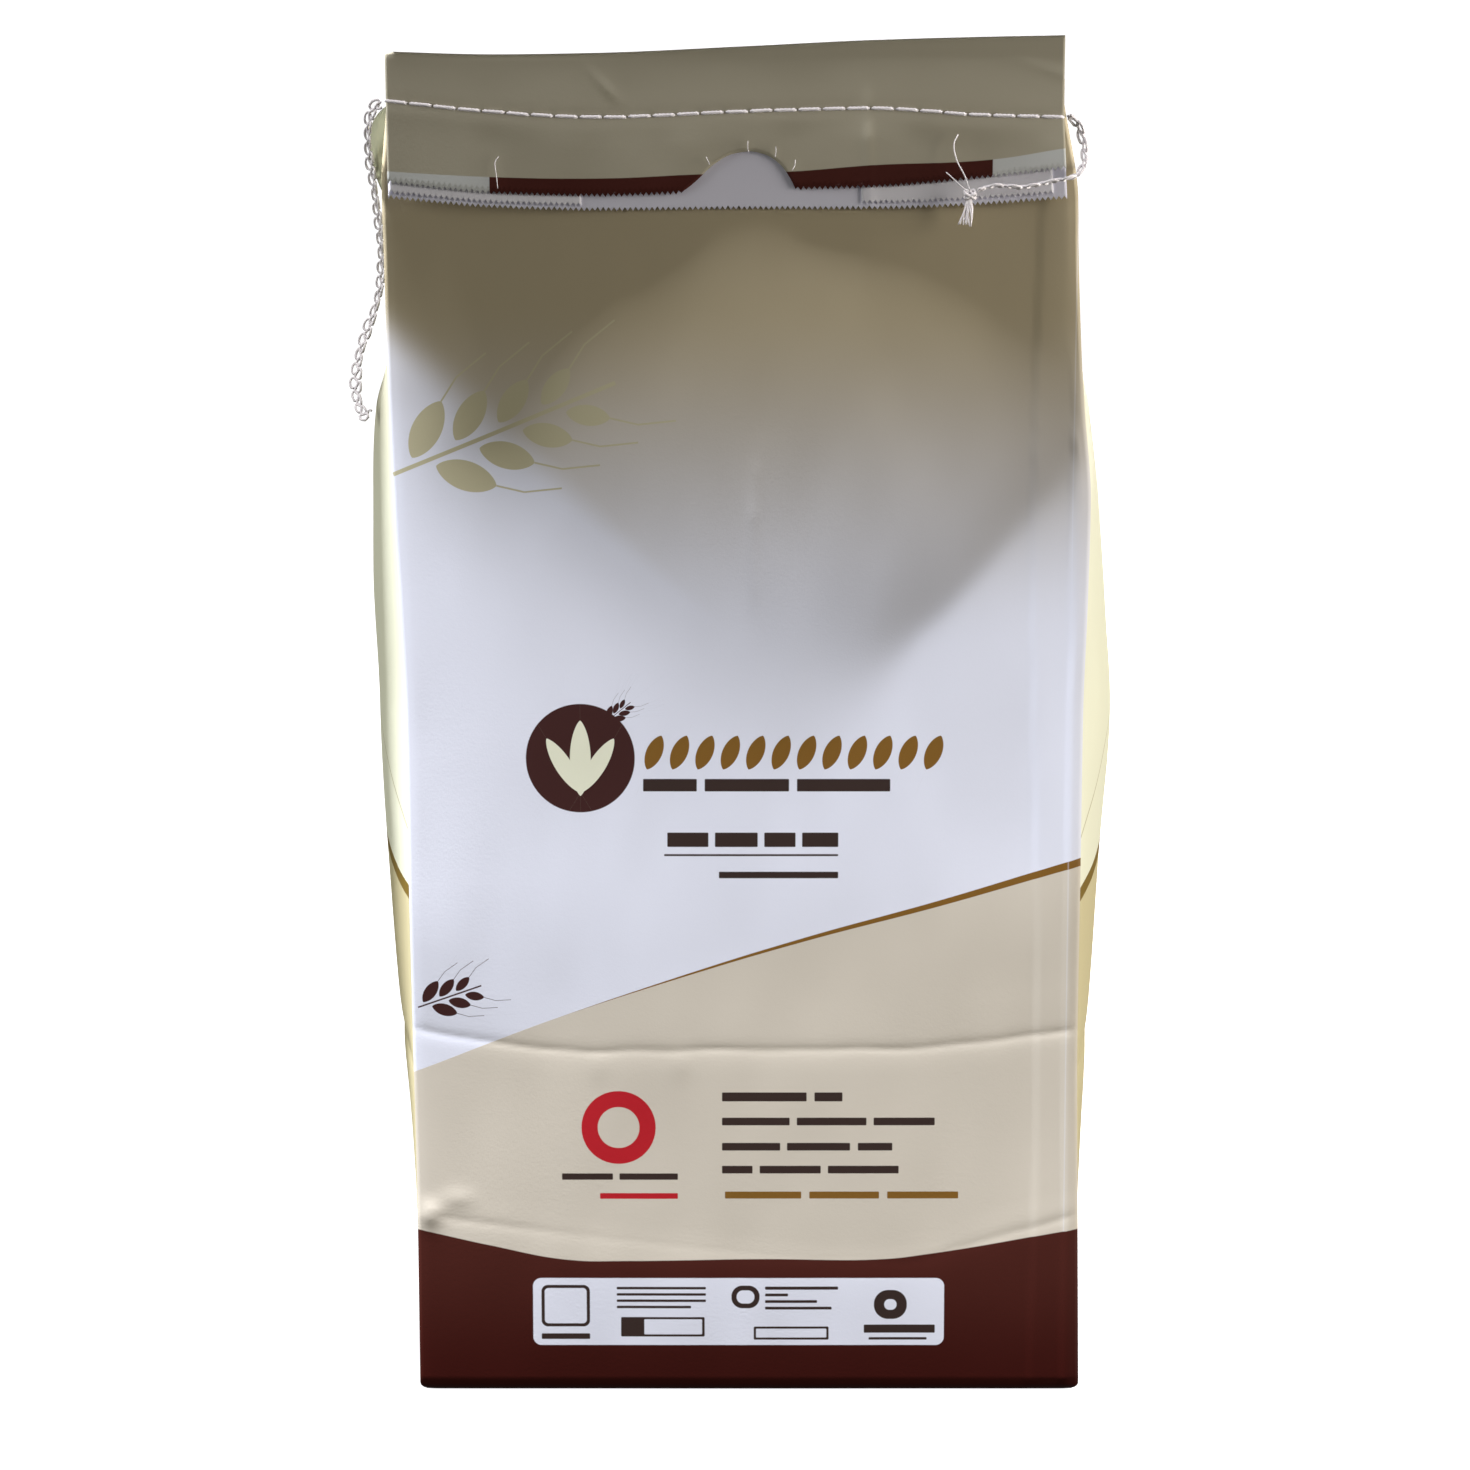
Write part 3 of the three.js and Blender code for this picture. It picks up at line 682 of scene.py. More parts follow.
class Flap:
    """The mouth's folded layers, with their pinked edges."""

    SHEETS = (
        Sheet("flap_outer", OUTER_EDGE, 0.0, 0, over_fold=True, notched=True),
        Sheet("flap_inner", INNER_EDGE, 1.2, 6),
        Sheet("flap_gusset_left", INNER_EDGE, 0.75, 8, left=-106.0, right=-49.5, drop=1.3),
        Sheet("flap_gusset_right", INNER_EDGE, 0.75, 8, left=33, right=89.6, drop=1.6),
    )
    STREAKS = (
        Streak((-43.5, 397), 0.95, 1.5, 1.0, ((1, 389, 394), (1, 405, 400))),
        Streak((35.6, 390), 0.0, 1.6, 0.8, ((1, 396, 390),)),
        Streak((85, 401.5), 1 / 0.35, 4.0, 0.7, ((0, 74, 80),)),
    )
    FRONT_ROWS, FOLD_ROWS, BACK_ROWS = 26, 12, 8
    SETTLE_ROWS, HEM = 6, 1.5
    EDGE_ROWS, EDGE_COLUMNS, EDGE_TUCK, EDGE_DEPTH = 24, 4, 3.0, 9.0

    def __init__(self, builder: Builder) -> None:
        """Take the builder of the shared frame."""
        self.builder = builder

    def front_y(self, x: Array, z: Array) -> Array:
        """Place the flap's own face at a point across it.

        Args:
            x: Places across the flap, in millimetres.
            z: Heights.

        Returns:
            Their y.
        """
        down = np.maximum(0, SEAM_LINE(x) - z)
        points = np.stack((x, np.zeros_like(x), z), axis=-1)
        wave = sum(wrinkles.height(points) for wrinkles in FLAP_WAVES)
        wave += STREAK_LIFT * sum(streak.height(x, z) for streak in self.STREAKS)
        pucker = PUCKER * ridge(z - SEAM_LINE(x), PUCKER_REACH)
        return FLAP_FRONT + FLAP_SWING * down - wave * np.clip(down / 8, 0.35, 1) + pucker

    def edge_height(self, sheet: Sheet, x: Array, tooth: Array) -> Array:
        """Find the cut edge: its line, with teeth, and the thumb notch where there is one.

        Args:
            sheet: The layer.
            x: Places across it.
            tooth: How much of a tooth each one is.

        Returns:
            The heights of the edge.
        """
        cut = sheet.edge(x) + sheet.drop + TOOTH_DEPTH * tooth
        if sheet.notched:
            inside = (x > NOTCH.at[0]) & (x < NOTCH.at[-1])
            cut = np.where(inside, sheet.edge(x) + np.maximum(NOTCH(x), TOOTH_DEPTH * tooth), cut)
        return cut

    def build_sheet(self, sheet: Sheet) -> bpy.types.Object:
        """Build one layer.

        Args:
            sheet: What it is like.

        Returns:
            The layer.
        """
        teeth = round((sheet.right - sheet.left) / TOOTH_PITCH)
        columns = 2 * teeth
        folded = self.FOLD_ROWS + self.BACK_ROWS if sheet.over_fold else 0
        rows = self.FRONT_ROWS + folded
        mesh = grid(columns, rows)
        places = grid_places(mesh)
        row = np.rint(places[:, 1] * rows)
        column = np.rint(places[:, 0] * columns)
        ragged = np.array([0.25 * noise.noise(Vector((c * 0.7, sheet.front, 0))) for c in column])
        tooth = np.clip(column % 2 + ragged, 0, 1.2)
        nominal = sheet.left + (sheet.right - sheet.left) * places[:, 0]
        fold, seam = FOLD_LINE(nominal), SEAM_LINE(nominal)
        low = self.edge_height(sheet, nominal, tooth)
        top = fold - FOLD_ROUND if sheet.over_fold else seam - sheet.top
        rise = np.clip(row / self.FRONT_ROWS, 0, 1)
        z = low + (top - low) * rise
        y = self.front_y(nominal, z) + sheet.front
        sheet_v = z.copy()
        if sheet.over_fold:
            turn = np.clip((row - self.FRONT_ROWS) / self.FOLD_ROWS, 0, 1)
            down = np.clip((row - self.FRONT_ROWS - self.FOLD_ROWS) / self.BACK_ROWS, 0, 1)
            half = (FLAP_BACK - FLAP_FRONT) / 2
            on_fold = row > self.FRONT_ROWS
            arc_y = FOLD_MIDDLE - half * np.cos(math.pi * turn)
            arc_z = top + FOLD_ROUND * np.sin(math.pi * turn) ** FOLD_SQUARE - down * (top - seam + self.HEM)
            settle = np.clip((row - self.FRONT_ROWS) / self.SETTLE_ROWS + 1, 0, 1)
            y = np.where(on_fold, arc_y, y * (1 - settle) + FLAP_FRONT * settle)
            z = np.where(on_fold, arc_z, z)
            sheet_v = np.where(on_fold, top + 6 * turn + down * (top - seam), sheet_v)
        left, right = flap_edges(z)
        whole = (nominal - FLAP_LEFT) / (FLAP_RIGHT_BOTTOM - FLAP_LEFT)
        x = left + (right - left) * whole
        set_uv(mesh, "paper", np.stack((x, sheet_v), axis=-1) * MM)
        move(mesh, np.stack((x, y - crown_lean(z), z), axis=-1))
        bmesh.ops.recalc_face_normals(mesh, faces=mesh.faces)
        bmesh.ops.solidify(mesh, geom=mesh.faces, thickness=PAPER_THICKNESS)
        return self.builder.finish(sheet.name, mesh, Slot.PAPER)

    def build_edge(self) -> bpy.types.Object:
        """Build the gusset's folded edge that shows past the flap's left end.

        Returns:
            The edge.
        """
        mesh = grid(self.EDGE_COLUMNS, self.EDGE_ROWS)
        out, up = grid_places(mesh).T
        z = EDGE_LOW + (EDGE_HIGH - EDGE_LOW) * up
        x = FLAP_LEFT + self.EDGE_TUCK - (self.EDGE_TUCK + EDGE_WIDTH(z)) * out
        y = FLAP_BACK - EDGE_GAP + self.EDGE_DEPTH * out
        set_uv(mesh, "paper", np.stack((x, z), axis=-1) * MM)
        move(mesh, np.stack((x, y, z), axis=-1))
        bmesh.ops.solidify(mesh, geom=mesh.faces, thickness=PAPER_THICKNESS)
        return self.builder.finish("flap_left_edge", mesh, Slot.PAPER)

    def build(self) -> list[bpy.types.Object]:
        """Build every layer.

        Returns:
            The layers, the printed outer one first.
        """
        return [*(self.build_sheet(sheet) for sheet in self.SHEETS), self.build_edge()]


def run_along(line: Array) -> Array:
    """Measure how far every point of a line is from its start, along it."""
    return np.concatenate(([0], np.cumsum(np.linalg.norm(np.diff(line, axis=0), axis=1))))


def read_at(places: Array, run: Array, table: Array) -> Array:
    """Read rows of three numbers, known at the places of run, at other places."""
    return np.stack([np.interp(places, run, table[:, axis]) for axis in range(3)], axis=-1)


def catmull(points: Sequence[Sequence[float]], steps: int) -> Array:
    """Draw an even smooth line through points.

    Args:
        points: The points, in order.
        steps: How many steps the line has.

    Returns:
        Rows of x, y and z, evenly spaced along the line.
    """
    knots = np.array(points, float)
    padded = np.vstack((2 * knots[0] - knots[1], knots, 2 * knots[-1] - knots[-2]))
    dense = []
    for i in range(len(knots) - 1):
        a, b, c, d = padded[i : i + 4]
        for t in np.linspace(0, 1, 24, endpoint=False):
            square, cube = 2 * a - 5 * b + 4 * c - d, 3 * b - a - 3 * c + d
            dense.append(0.5 * (2 * b + (c - a) * t + square * t * t + cube * t**3))
    dense.append(knots[-1])
    line = np.array(dense)
    run = run_along(line)
    return read_at(np.linspace(0, run[-1], steps + 1), run, line)


def frames_along(line: Array, up: Sequence[float]) -> tuple[Array, Array]:
    """Find two directions across a line, kept as steady as can be.

    Args:
        line: The line's points.
        up: The direction that the first of them starts near.

    Returns:
        For every point a direction across the line, and the one square to both.
    """
    tangents = np.gradient(line, axis=0)
    tangents /= np.linalg.norm(tangents, axis=1)[:, None]
    across, normal = [], np.array(up, float)
    for tangent in tangents:
        normal = normal - tangent * np.dot(normal, tangent)
        normal /= np.linalg.norm(normal)
        across.append(normal.copy())
    across = np.array(across)
    return across, np.cross(tangents, across)


PLY_DEPTH = 0.17


def add_strand(
    mesh: bmesh.types.BMesh, line: Array, radius: Array | float, sides: int = 7, twist: float = 0.0
) -> None:
    """Add a closed yarn along a line.

    Args:
        mesh: The mesh that it is added to.
        line: Rows of x, y and z.
        radius: Its radius, or one for every point.
        sides: Corners of its section.
        twist: Turns of its plies for every millimetre, or 0 where it has no plies.
    """
    across, square = frames_along(line, (0.13, 0.4, 1))
    radii = np.broadcast_to(radius, len(line))
    run = run_along(line)
    rings = []
    for i, point in enumerate(line):
        ring = []
        for k in range(sides):
            angle = 2 * math.pi * k / sides
            ply = 1 + (PLY_DEPTH * math.cos(2 * (angle + 2 * math.pi * twist * run[i])) if twist else 0)
            offset = (math.cos(angle) * across[i] + math.sin(angle) * square[i]) * radii[i] * ply
            ring.append(mesh.verts.new(point + offset))
        rings.append(ring)
    for low, high in zip(rings, rings[1:], strict=False):
        for k in range(sides):
            mesh.faces.new((low[k], low[(k + 1) % sides], high[(k + 1) % sides], high[k]))
    mesh.faces.new(rings[0][::-1])
    mesh.faces.new(rings[-1])


LINK_STEPS, LINK_WOBBLE, RUNNER_SWING = 20, 0.25, 0.32


def chain_lines(line: Array, pitch: float, width: Array, lap: float, depth: float) -> list[Array]:
    """Draw the yarn of a chain stitch along a line.

    Args:
        line: The chain's middle line.
        pitch: Length of one link.
        width: Half of the chain's width at every point of the line.
        lap: How far a link reaches into the next one.
        depth: How far its strands lie before and behind each other.

    Returns:
        The lines of the yarn: the looping one and the one that runs through the loops.
    """
    across, square = frames_along(line, (0.9, -0.45, 0.1))
    run = run_along(line)
    links = max(2, round(run[-1] / pitch))
    t = np.linspace(0, links, links * LINK_STEPS + 1)
    along = (t + lap / pitch * np.sin(4 * math.pi * t)) * run[-1] / links
    along = np.clip(along, 0, run[-1])
    half = np.interp(along, run, width)
    wobble = 1 + LINK_WOBBLE * np.sin(1.7 * t)
    aside = read_at(along, run, across)
    looping = read_at(along, run, line) + aside * (half * wobble * np.cos(2 * math.pi * t))[:, None]
    looping += read_at(along, run, square) * (depth * np.cos(4 * math.pi * t))[:, None]
    centre = read_at(t * run[-1] / links, run, line)
    second = centre + aside * (RUNNER_SWING * half * np.cos(2 * math.pi * t + 2.2))[:, None]
    return [looping, second]


@dataclass(frozen=True)
class Tail:
    """A loose chain of thread at one end of the seam."""

    name: str
    node: str
    route: tuple[tuple[float, float, float], ...]
    diameter: float
    far_end: str
    lay: str
    widths: Track
    pitch: float


LEFT_TAIL = Tail(
    "tail_left", "thread_tail_left",
    (
        (-108.3, -67.2, 391.2), (-110.6, -66, 390.2), (-112.4, -64, 387.2), (-113.2, -61, 382),
        (-113.2, -58, 376.3), (-112.7, -55, 370), (-112.2, -52, 363.5), (-112, -48, 356),
        (-112.2, -44, 348), (-113.2, -41, 341), (-115.2, -39, 334.3), (-118, -38, 327.5),
        (-120.1, -38.5, 321), (-121, -40.5, 314.2), (-120.4, -43.5, 307.6), (-118.6, -47, 302.6),
        (-115.8, -50.5, 300.8),
    ),
    3.0, "bare", "hanging", Track((0, 1.4), (0.2, 1.7), (0.6, 1.5), (0.8, 1.9), (1, 1.6)), 4.6,
)
RIGHT_TAIL = Tail(
    "tail_right", "thread_tail_right",
    (
        (93.4, -67.8, 387.6), (95.8, -66.4, 386.2), (98, -65, 382), (98.8, -65.4, 376.6),
        (97.8, -68, 372.4), (95.2, -71.6, 369.6), (92, -73.3, 368.4), (88.8, -73.4, 367.9),
        (85.3, -73.3, 367.1), (81.8, -73.2, 366.4), (78.3, -73.2, 366), (74.8, -73.2, 366.4),
        (71.6, -73.2, 366.5), (68.6, -73.2, 365.9), (66.6, -73.2, 365.1),
    ),
    2.4, "knot", "loose", Track((0, 0.9), (0.4, 1.25), (0.6, 1.35), (1, 1.4)), 5.2,
)
KNOT_CENTRE = (63.9, -73.4, 363.6)


class Thread:
    """The sewing thread: seam, back chain, tails, knot and stray fibres."""

    FIRST, LAST, PITCH = -106.8, 92.0, 7.15
    FRONT_Y, BACK_Y = -70.32, -63.05
    SEAM_RADIUS, SEAM_THINNING = 0.5, 0.3
    STITCH_START, STITCH_SPAN = 0.055, 0.88
    SINK_FROM, SINK_DEPTH, THIN_FROM = 0.72, 0.62, 0.8
    HOLE_RADIUS, HOLE_STRETCH, HOLE_Y = 0.62, 1.05, -69.62
    BACK_WIDTH, BACK_RADIUS, BACK_STEPS = 0.75, 0.34, 240
    TAIL_RADIUS, TAIL_STEPS = 0.4, 200
    KNOT_RADIUS, TASSEL_YARNS, TASSEL_RADIUS, TASSEL_REACH = 0.45, 13, 0.33, 8.2
    FIBRES = (
        (
            0.2, (64.2, -74, 364.8), (62.6, -74, 369.2), (60.3, -73.8, 373.6), (59.4, -73.4, 378.2),
            (60.6, -73, 381.2),
        ),
        (0.2, (63.6, -74.2, 364.6), (60.8, -74.4, 366.8), (58.4, -74, 369.2), (57.2, -73.6, 370.3)),
        (0.12, (-73.9, -70.9, 366), (-74.2, -71.3, 369.5), (-74.6, -71.4, 373.4), (-73.5, -71.2, 375.2)),
        (0.12, (-0.4, -71.3, 376.4), (-0.7, -71.7, 377.8), (-0.6, -71.8, 379.6)),
        (0.12, (7.3, -71.2, 375), (7.6, -71.6, 376.4), (7.5, -71.6, 378)),
        (0.12, (-11.8, -71.3, 372.8), (-12.4, -71.6, 374.2), (-12.8, -71.7, 375)),
        (0.12, (12.4, -71.2, 371.2), (13.1, -71.6, 372.6), (13.2, -71.7, 374.2)),
    )

    def __init__(self, builder: Builder) -> None:
        """Take the builder of the shared frame."""
        self.builder = builder
        self.count = round((self.LAST - self.FIRST) / self.PITCH)
        self.step = (self.LAST - self.FIRST) / self.count

    def seam_row(self) -> bpy.types.Object:
        """Build the front row: one short yarn to each stitch, its ends sunk in the paper.

        Returns:
            The row.
        """
        mesh = bmesh.new()
        t = np.linspace(0, 1, 19)
        end = np.abs(2 * t - 1)
        sink = self.SINK_DEPTH * (np.maximum(end - self.SINK_FROM, 0) / (1 - self.SINK_FROM)) ** 2
        thin = self.SEAM_THINNING * np.maximum(end - self.THIN_FROM, 0) / (1 - self.THIN_FROM)
        radius = self.SEAM_RADIUS * (1 - thin)
        for i in range(self.count):
            jolt = 0.25 * noise.noise(Vector((i * 3.7, 0, 0)))
            x = self.FIRST + (i + self.STITCH_START + self.STITCH_SPAN * t) * self.step
            z = SEAM_LINE(x) + jolt * t
            y = self.FRONT_Y + sink - crown_lean(z)
            add_strand(mesh, np.stack((x, y, z), axis=-1), radius, sides=10, twist=0.42)
        return self.builder.finish("seam_row", mesh, Slot.THREAD, ["seam_stitches"])

    def needle_holes(self) -> bpy.types.Object:
        """Build small dark discs of painted shade for the holes that the needle left between the stitches.

        Returns:
            The holes, one piece.
        """
        mesh = bmesh.new()
        for i in range(1, self.count):
            x = self.FIRST + (i - 0.005) * self.step
            rim = bmesh.ops.create_circle(mesh, cap_ends=True, radius=self.HOLE_RADIUS, segments=10)["verts"]
            for vertex in rim:
                height = float(SEAM_LINE(x)) - 0.1 + self.HOLE_STRETCH * vertex.co.y
                vertex.co = (x + vertex.co.x, self.HOLE_Y - crown_lean(height), height)
        bmesh.ops.solidify(mesh, geom=mesh.faces, thickness=0.12)
        return self.builder.finish("needle_holes", mesh, Slot.PAPER)

    def back_chain(self) -> bpy.types.Object:
        """Build the chain of loops on the seam's back.

        Returns:
            The chain.
        """
        mesh = bmesh.new()
        x = np.linspace(self.FIRST + 0.5, self.LAST - 0.5, self.BACK_STEPS)
        line = np.stack((x, self.BACK_Y - crown_lean(SEAM_LINE(x)), SEAM_LINE(x)), axis=-1)
        widths = np.full(self.BACK_STEPS, self.BACK_WIDTH)
        for strand in chain_lines(line, self.PITCH, widths, 1.2, 0.25):
            add_strand(mesh, strand, self.BACK_RADIUS, sides=6, twist=0.5)
        return self.builder.finish("back_chain", mesh, Slot.THREAD, ["seam_chain"])

    def tail(self, tail: Tail) -> tuple[bpy.types.Object, Array]:
        """Build one loose tail.

        Args:
            tail: What it is like.

        Returns:
            The tail and its middle line, in millimetres.
        """
        line = catmull(tail.route, self.TAIL_STEPS)
        mesh = bmesh.new()
        widths = tail.widths(np.linspace(0, 1, len(line)))
        for strand in chain_lines(line, tail.pitch, widths, 1.1, 0.3):
            add_strand(mesh, strand, self.TAIL_RADIUS, sides=7, twist=0.5)
        return self.builder.finish(tail.name, mesh, Slot.THREAD, [tail.node]), line

    def knot(self) -> bpy.types.Object:
        """Build the knot at the right tail's end, with its frayed tassel.

        Returns:
            The knot.
        """
        mesh = bmesh.new()
        centre = np.array(KNOT_CENTRE)
        t = np.linspace(0, 2 * math.pi, 60)
        x, z = 1.5 * np.sin(3 * t) + 0.3, 1.5 * np.cos(3 * t + 0.8) * np.cos(t) + 0.3
        turns = np.stack((x, 0.9 * np.cos(2 * t + 0.4), z), axis=-1)
        add_strand(mesh, centre + turns, self.KNOT_RADIUS, sides=7, twist=0.4)
        for k in range(self.TASSEL_YARNS):
            spread = k - self.TASSEL_YARNS // 2
            bend = noise.noise(Vector((k * 1.9, 4, 0)))
            reach = self.TASSEL_REACH + 1.4 * noise.noise(Vector((k * 2.7, 0, 8)))
            s = np.linspace(0, 1, 12)
            x = 0.1 * spread + (0.2 * spread + 0.9 * bend - 0.8) * s**1.5 + 0.35 * np.sin(5 * s + k)
            y = 0.5 * np.cos(k * 2.1) * (0.5 + s)
            strand = centre + np.stack((x, y, -reach * s), axis=-1)
            add_strand(mesh, strand, self.TASSEL_RADIUS * (1 - 0.5 * s), sides=5)
        return self.builder.finish("tail_knot", mesh, Slot.THREAD, ["thread_knot"])

    def fibres(self) -> bpy.types.Object:
        """Build the thread ends and paper fibres that stand off the flap.

        Returns:
            The fibres, one piece.
        """
        mesh = bmesh.new()
        for radius, *route in self.FIBRES:
            add_strand(mesh, catmull(route, 18), radius, sides=5)
        return self.builder.finish("stray_fibres", mesh, Slot.THREAD)

    def build(self) -> dict[str, bpy.types.Object]:
        """Build all of the thread.

        Returns:
            The pieces by name.
        """
        pieces = [self.seam_row(), self.needle_holes(), self.back_chain(), self.knot(), self.fibres()]
        for tail in (LEFT_TAIL, RIGHT_TAIL):
            made, line = self.tail(tail)
            path = [tuple(self.builder.place(point)) for point in line]
            pieces.append(made)
        return {piece.name: piece for piece in pieces}


def linear(red: float, green: float, blue: float) -> tuple[float, float, float, float]:
    """Turn a display colour from 0 to 255 into a linear one."""
    shares = (value / 255 for value in (red, green, blue))
    return *(s / 12.92 if s <= 0.04045 else ((s + 0.055) / 1.055) ** 2.4 for s in shares), 1.0


Socket = bpy.types.NodeSocket
Colour = tuple[float, float, float, float]


class Graph:
    """Adds nodes to one node tree and joins them."""

    def __init__(self, tree: bpy.types.NodeTree) -> None:
        """Take the tree."""
        self.tree = tree

    def node(self, kind: str, **settings: object) -> bpy.types.Node:
        """Add a node with some of its settings.

        Args:
            kind: Its type.
            settings: Its properties by name.

        Returns:
            The node.
        """
        made = self.tree.nodes.new(kind)
        for name, value in settings.items():
            setattr(made, name, value)
        return made

    def feed(self, socket: Socket, value: object) -> None:
        """Give an input a link or a plain value.

        Args:
            socket: The input.
            value: An output to link, or a number or colour.
        """
        if isinstance(value, bpy.types.NodeSocket):
            self.tree.links.new(value, socket)
        else:
            socket.default_value = value

    def math(self, operation: str, *values: Socket | float) -> Socket:
        """Add a sum and return its result.

        Args:
            operation: What it works out.
            values: What it takes, in order.

        Returns:
            Its output.
        """
        made = self.node("ShaderNodeMath", operation=operation)
        for socket, value in zip(made.inputs, values, strict=False):
            self.feed(socket, value)
        return made.outputs[0]

    def plus(self, left: Socket | float, right: Socket | float) -> Socket:
        """Add two numbers."""
        return self.math("ADD", left, right)

    def minus(self, left: Socket | float, right: Socket | float) -> Socket:
        """Take the second number from the first."""
        return self.math("SUBTRACT", left, right)

    def times(self, left: Socket | float, right: Socket | float) -> Socket:
        """Multiply two numbers."""
        return self.math("MULTIPLY", left, right)

    def step(self, value: Socket, low: float | Socket, high: float | Socket) -> Socket:
        """Rise smoothly from 0 at low to 1 at high."""
        made = self.node("ShaderNodeMapRange", interpolation_type="SMOOTHSTEP")
        for name, given in (("Value", value), ("From Min", low), ("From Max", high)):
            self.feed(made.inputs[name], given)
        return made.outputs[0]

    def mix(self, factor: Socket | float, under: Socket | Colour, over: Socket | Colour) -> Socket:
        """Lay one colour over another.

        Args:
            factor: How much the upper one covers.
            under: The lower colour.
            over: The upper colour.

        Returns:
            The colour that results.
        """
        made = self.node("ShaderNodeMix", data_type="RGBA")
        self.feed(made.inputs[0], factor)
        self.feed(made.inputs[6], under)
        self.feed(made.inputs[7], over)
        return made.outputs[2]

    def curve(self, place: Socket, track: Track, span: tuple[float, float], top: float) -> Socket:
        """Read a drawn line: its height over its place.

        Args:
            place: Where it is read, in millimetres.
            track: The line.
            span: The first and the last place of the curve.
            top: A height above all of the line.

        Returns:
            The height in millimetres.
        """
        made = self.node("ShaderNodeFloatCurve")
        low, high = span
        self.feed(made.inputs["Value"], self.math("DIVIDE", self.minus(place, low), high - low))
        drawn = made.mapping.curves[0]
        ends = [(0.0, float(track(low)) / top), (1.0, float(track(high)) / top)]
        drawn.points[0].location, drawn.points[1].location = ends
        for at in track.at:
            if low < at < high:
                drawn.points.new((at - low) / (high - low), float(track(at)) / top)
        made.mapping.update()
        return self.times(made.outputs[0], top)


def new_group(name: str, **inputs: float) -> tuple[Graph, dict[str, Socket], bpy.types.NodeTree]:
    """Start a node group with number inputs, named by the words given, and one mask output.

    Args:
        name: The group's name.
        inputs: The first value of each input.

    Returns:
        The group's graph, its inputs by name, and its tree.
    """
    tree = bpy.data.node_groups.new(name, "ShaderNodeTree")
    for label, value in inputs.items():
        socket = tree.interface.new_socket(label, in_out="INPUT", socket_type="NodeSocketFloat")
        socket.default_value = value
    tree.interface.new_socket("Mask", in_out="OUTPUT", socket_type="NodeSocketFloat")
    graph = Graph(tree)
    given = graph.node("NodeGroupInput")
    return graph, {socket.name: socket for socket in given.outputs if socket.name}, tree


def close_group(graph: Graph, mask: Socket) -> None:
    """End a node group with its mask."""
    graph.feed(graph.node("NodeGroupOutput").inputs[0], mask)


PRINT_EDGE = 0.14
LEAF_ROUNDNESS = 0.72
WALL_ROUGHNESS = 0.5
SPECULAR = 0.18
TOOTH_HEIGHT = 0.00004


def box_group() -> bpy.types.NodeTree:
    """Build the mask of a box with round corners.

    Returns:
        The node group.
    """
    graph, given, tree = new_group(
        "rounded_box", u=0, v=0, centre_u=0, centre_v=0, half_u=1, half_v=1, radius=0
    )
    reach = []
    for axis in ("u", "v"):
        off = graph.math("ABSOLUTE", graph.minus(given[axis], given[f"centre_{axis}"]))
        reach.append(graph.plus(graph.minus(off, given[f"half_{axis}"]), given["radius"]))
    outside = [graph.math("POWER", graph.math("MAXIMUM", value, 0.0), 2.0) for value in reach]
    corner = graph.math("SQRT", graph.plus(*outside))
    inside = graph.math("MINIMUM", graph.math("MAXIMUM", *reach), 0.0)
    distance = graph.minus(graph.plus(corner, inside), given["radius"])
    close_group(graph, graph.step(distance, PRINT_EDGE, -PRINT_EDGE))
    return tree


def leaf_group() -> bpy.types.NodeTree:
    """Build the mask of a pointed leaf, or of a plain stroke where blunt is 1.

    Returns:
        The node group.
    """
    graph, given, tree = new_group("leaf", u=0, v=0, from_u=0, from_v=0, to_u=1, to_v=1, half=1, blunt=0)
    run_u, run_v = (graph.minus(given[f"to_{axis}"], given[f"from_{axis}"]) for axis in ("u", "v"))
    at_u, at_v = (graph.minus(given[axis], given[f"from_{axis}"]) for axis in ("u", "v"))
    square = graph.plus(graph.times(run_u, run_u), graph.times(run_v, run_v))
    dot = graph.plus(graph.times(at_u, run_u), graph.times(at_v, run_v))
    along = graph.math("DIVIDE", dot, square)
    turned = graph.minus(graph.times(at_u, run_v), graph.times(at_v, run_u))
    off = graph.math("DIVIDE", graph.math("ABSOLUTE", turned), graph.math("SQRT", square))
    hump = graph.times(graph.times(along, graph.minus(1.0, along)), 4.0)
    held = graph.math("MAXIMUM", hump, 0.0)
    pointed = graph.math("POWER", held, LEAF_ROUNDNESS)
    blunt = graph.times(graph.math("GREATER_THAN", held, 0.0), given["blunt"])
    half = graph.times(graph.math("MAXIMUM", pointed, blunt), given["half"])
    close_group(graph, graph.step(graph.minus(half, off), -PRINT_EDGE * 0.3, PRINT_EDGE))
    return tree


@dataclass(frozen=True)
class Box:
    """A printed bar, box or disc: its sides in millimetres and how round its corners are."""

    left: float
    right: float
    low: float
    high: float
    radius: float = 0.3

    def values(self) -> dict[str, float]:
        """List what its mask takes."""
        return {
            "centre_u": (self.left + self.right) / 2, "centre_v": (self.low + self.high) / 2,
            "half_u": (self.right - self.left) / 2, "half_v": (self.high - self.low) / 2,
            "radius": self.radius,
        }

    def corners(self) -> list[tuple[float, float]]:
        """List the ends of the box that holds it."""
        return [(self.left, self.low), (self.right, self.high)]


@dataclass(frozen=True)
class Leaf:
    """A printed grain or stroke between two points."""

    start: tuple[float, float]
    end: tuple[float, float]
    half: float
    blunt: bool = False

    def values(self) -> dict[str, float]:
        """List what its mask takes."""
        (from_u, from_v), (to_u, to_v) = self.start, self.end
        return {
            "from_u": from_u, "from_v": from_v, "to_u": to_u, "to_v": to_v,
            "half": self.half, "blunt": float(self.blunt),
        }

    def corners(self) -> list[tuple[float, float]]:
        """List the ends of the boxes round its two ends."""
        ends = (self.start, self.end)
        return [(u + reach, v + reach) for u, v in ends for reach in (-self.half, self.half)]


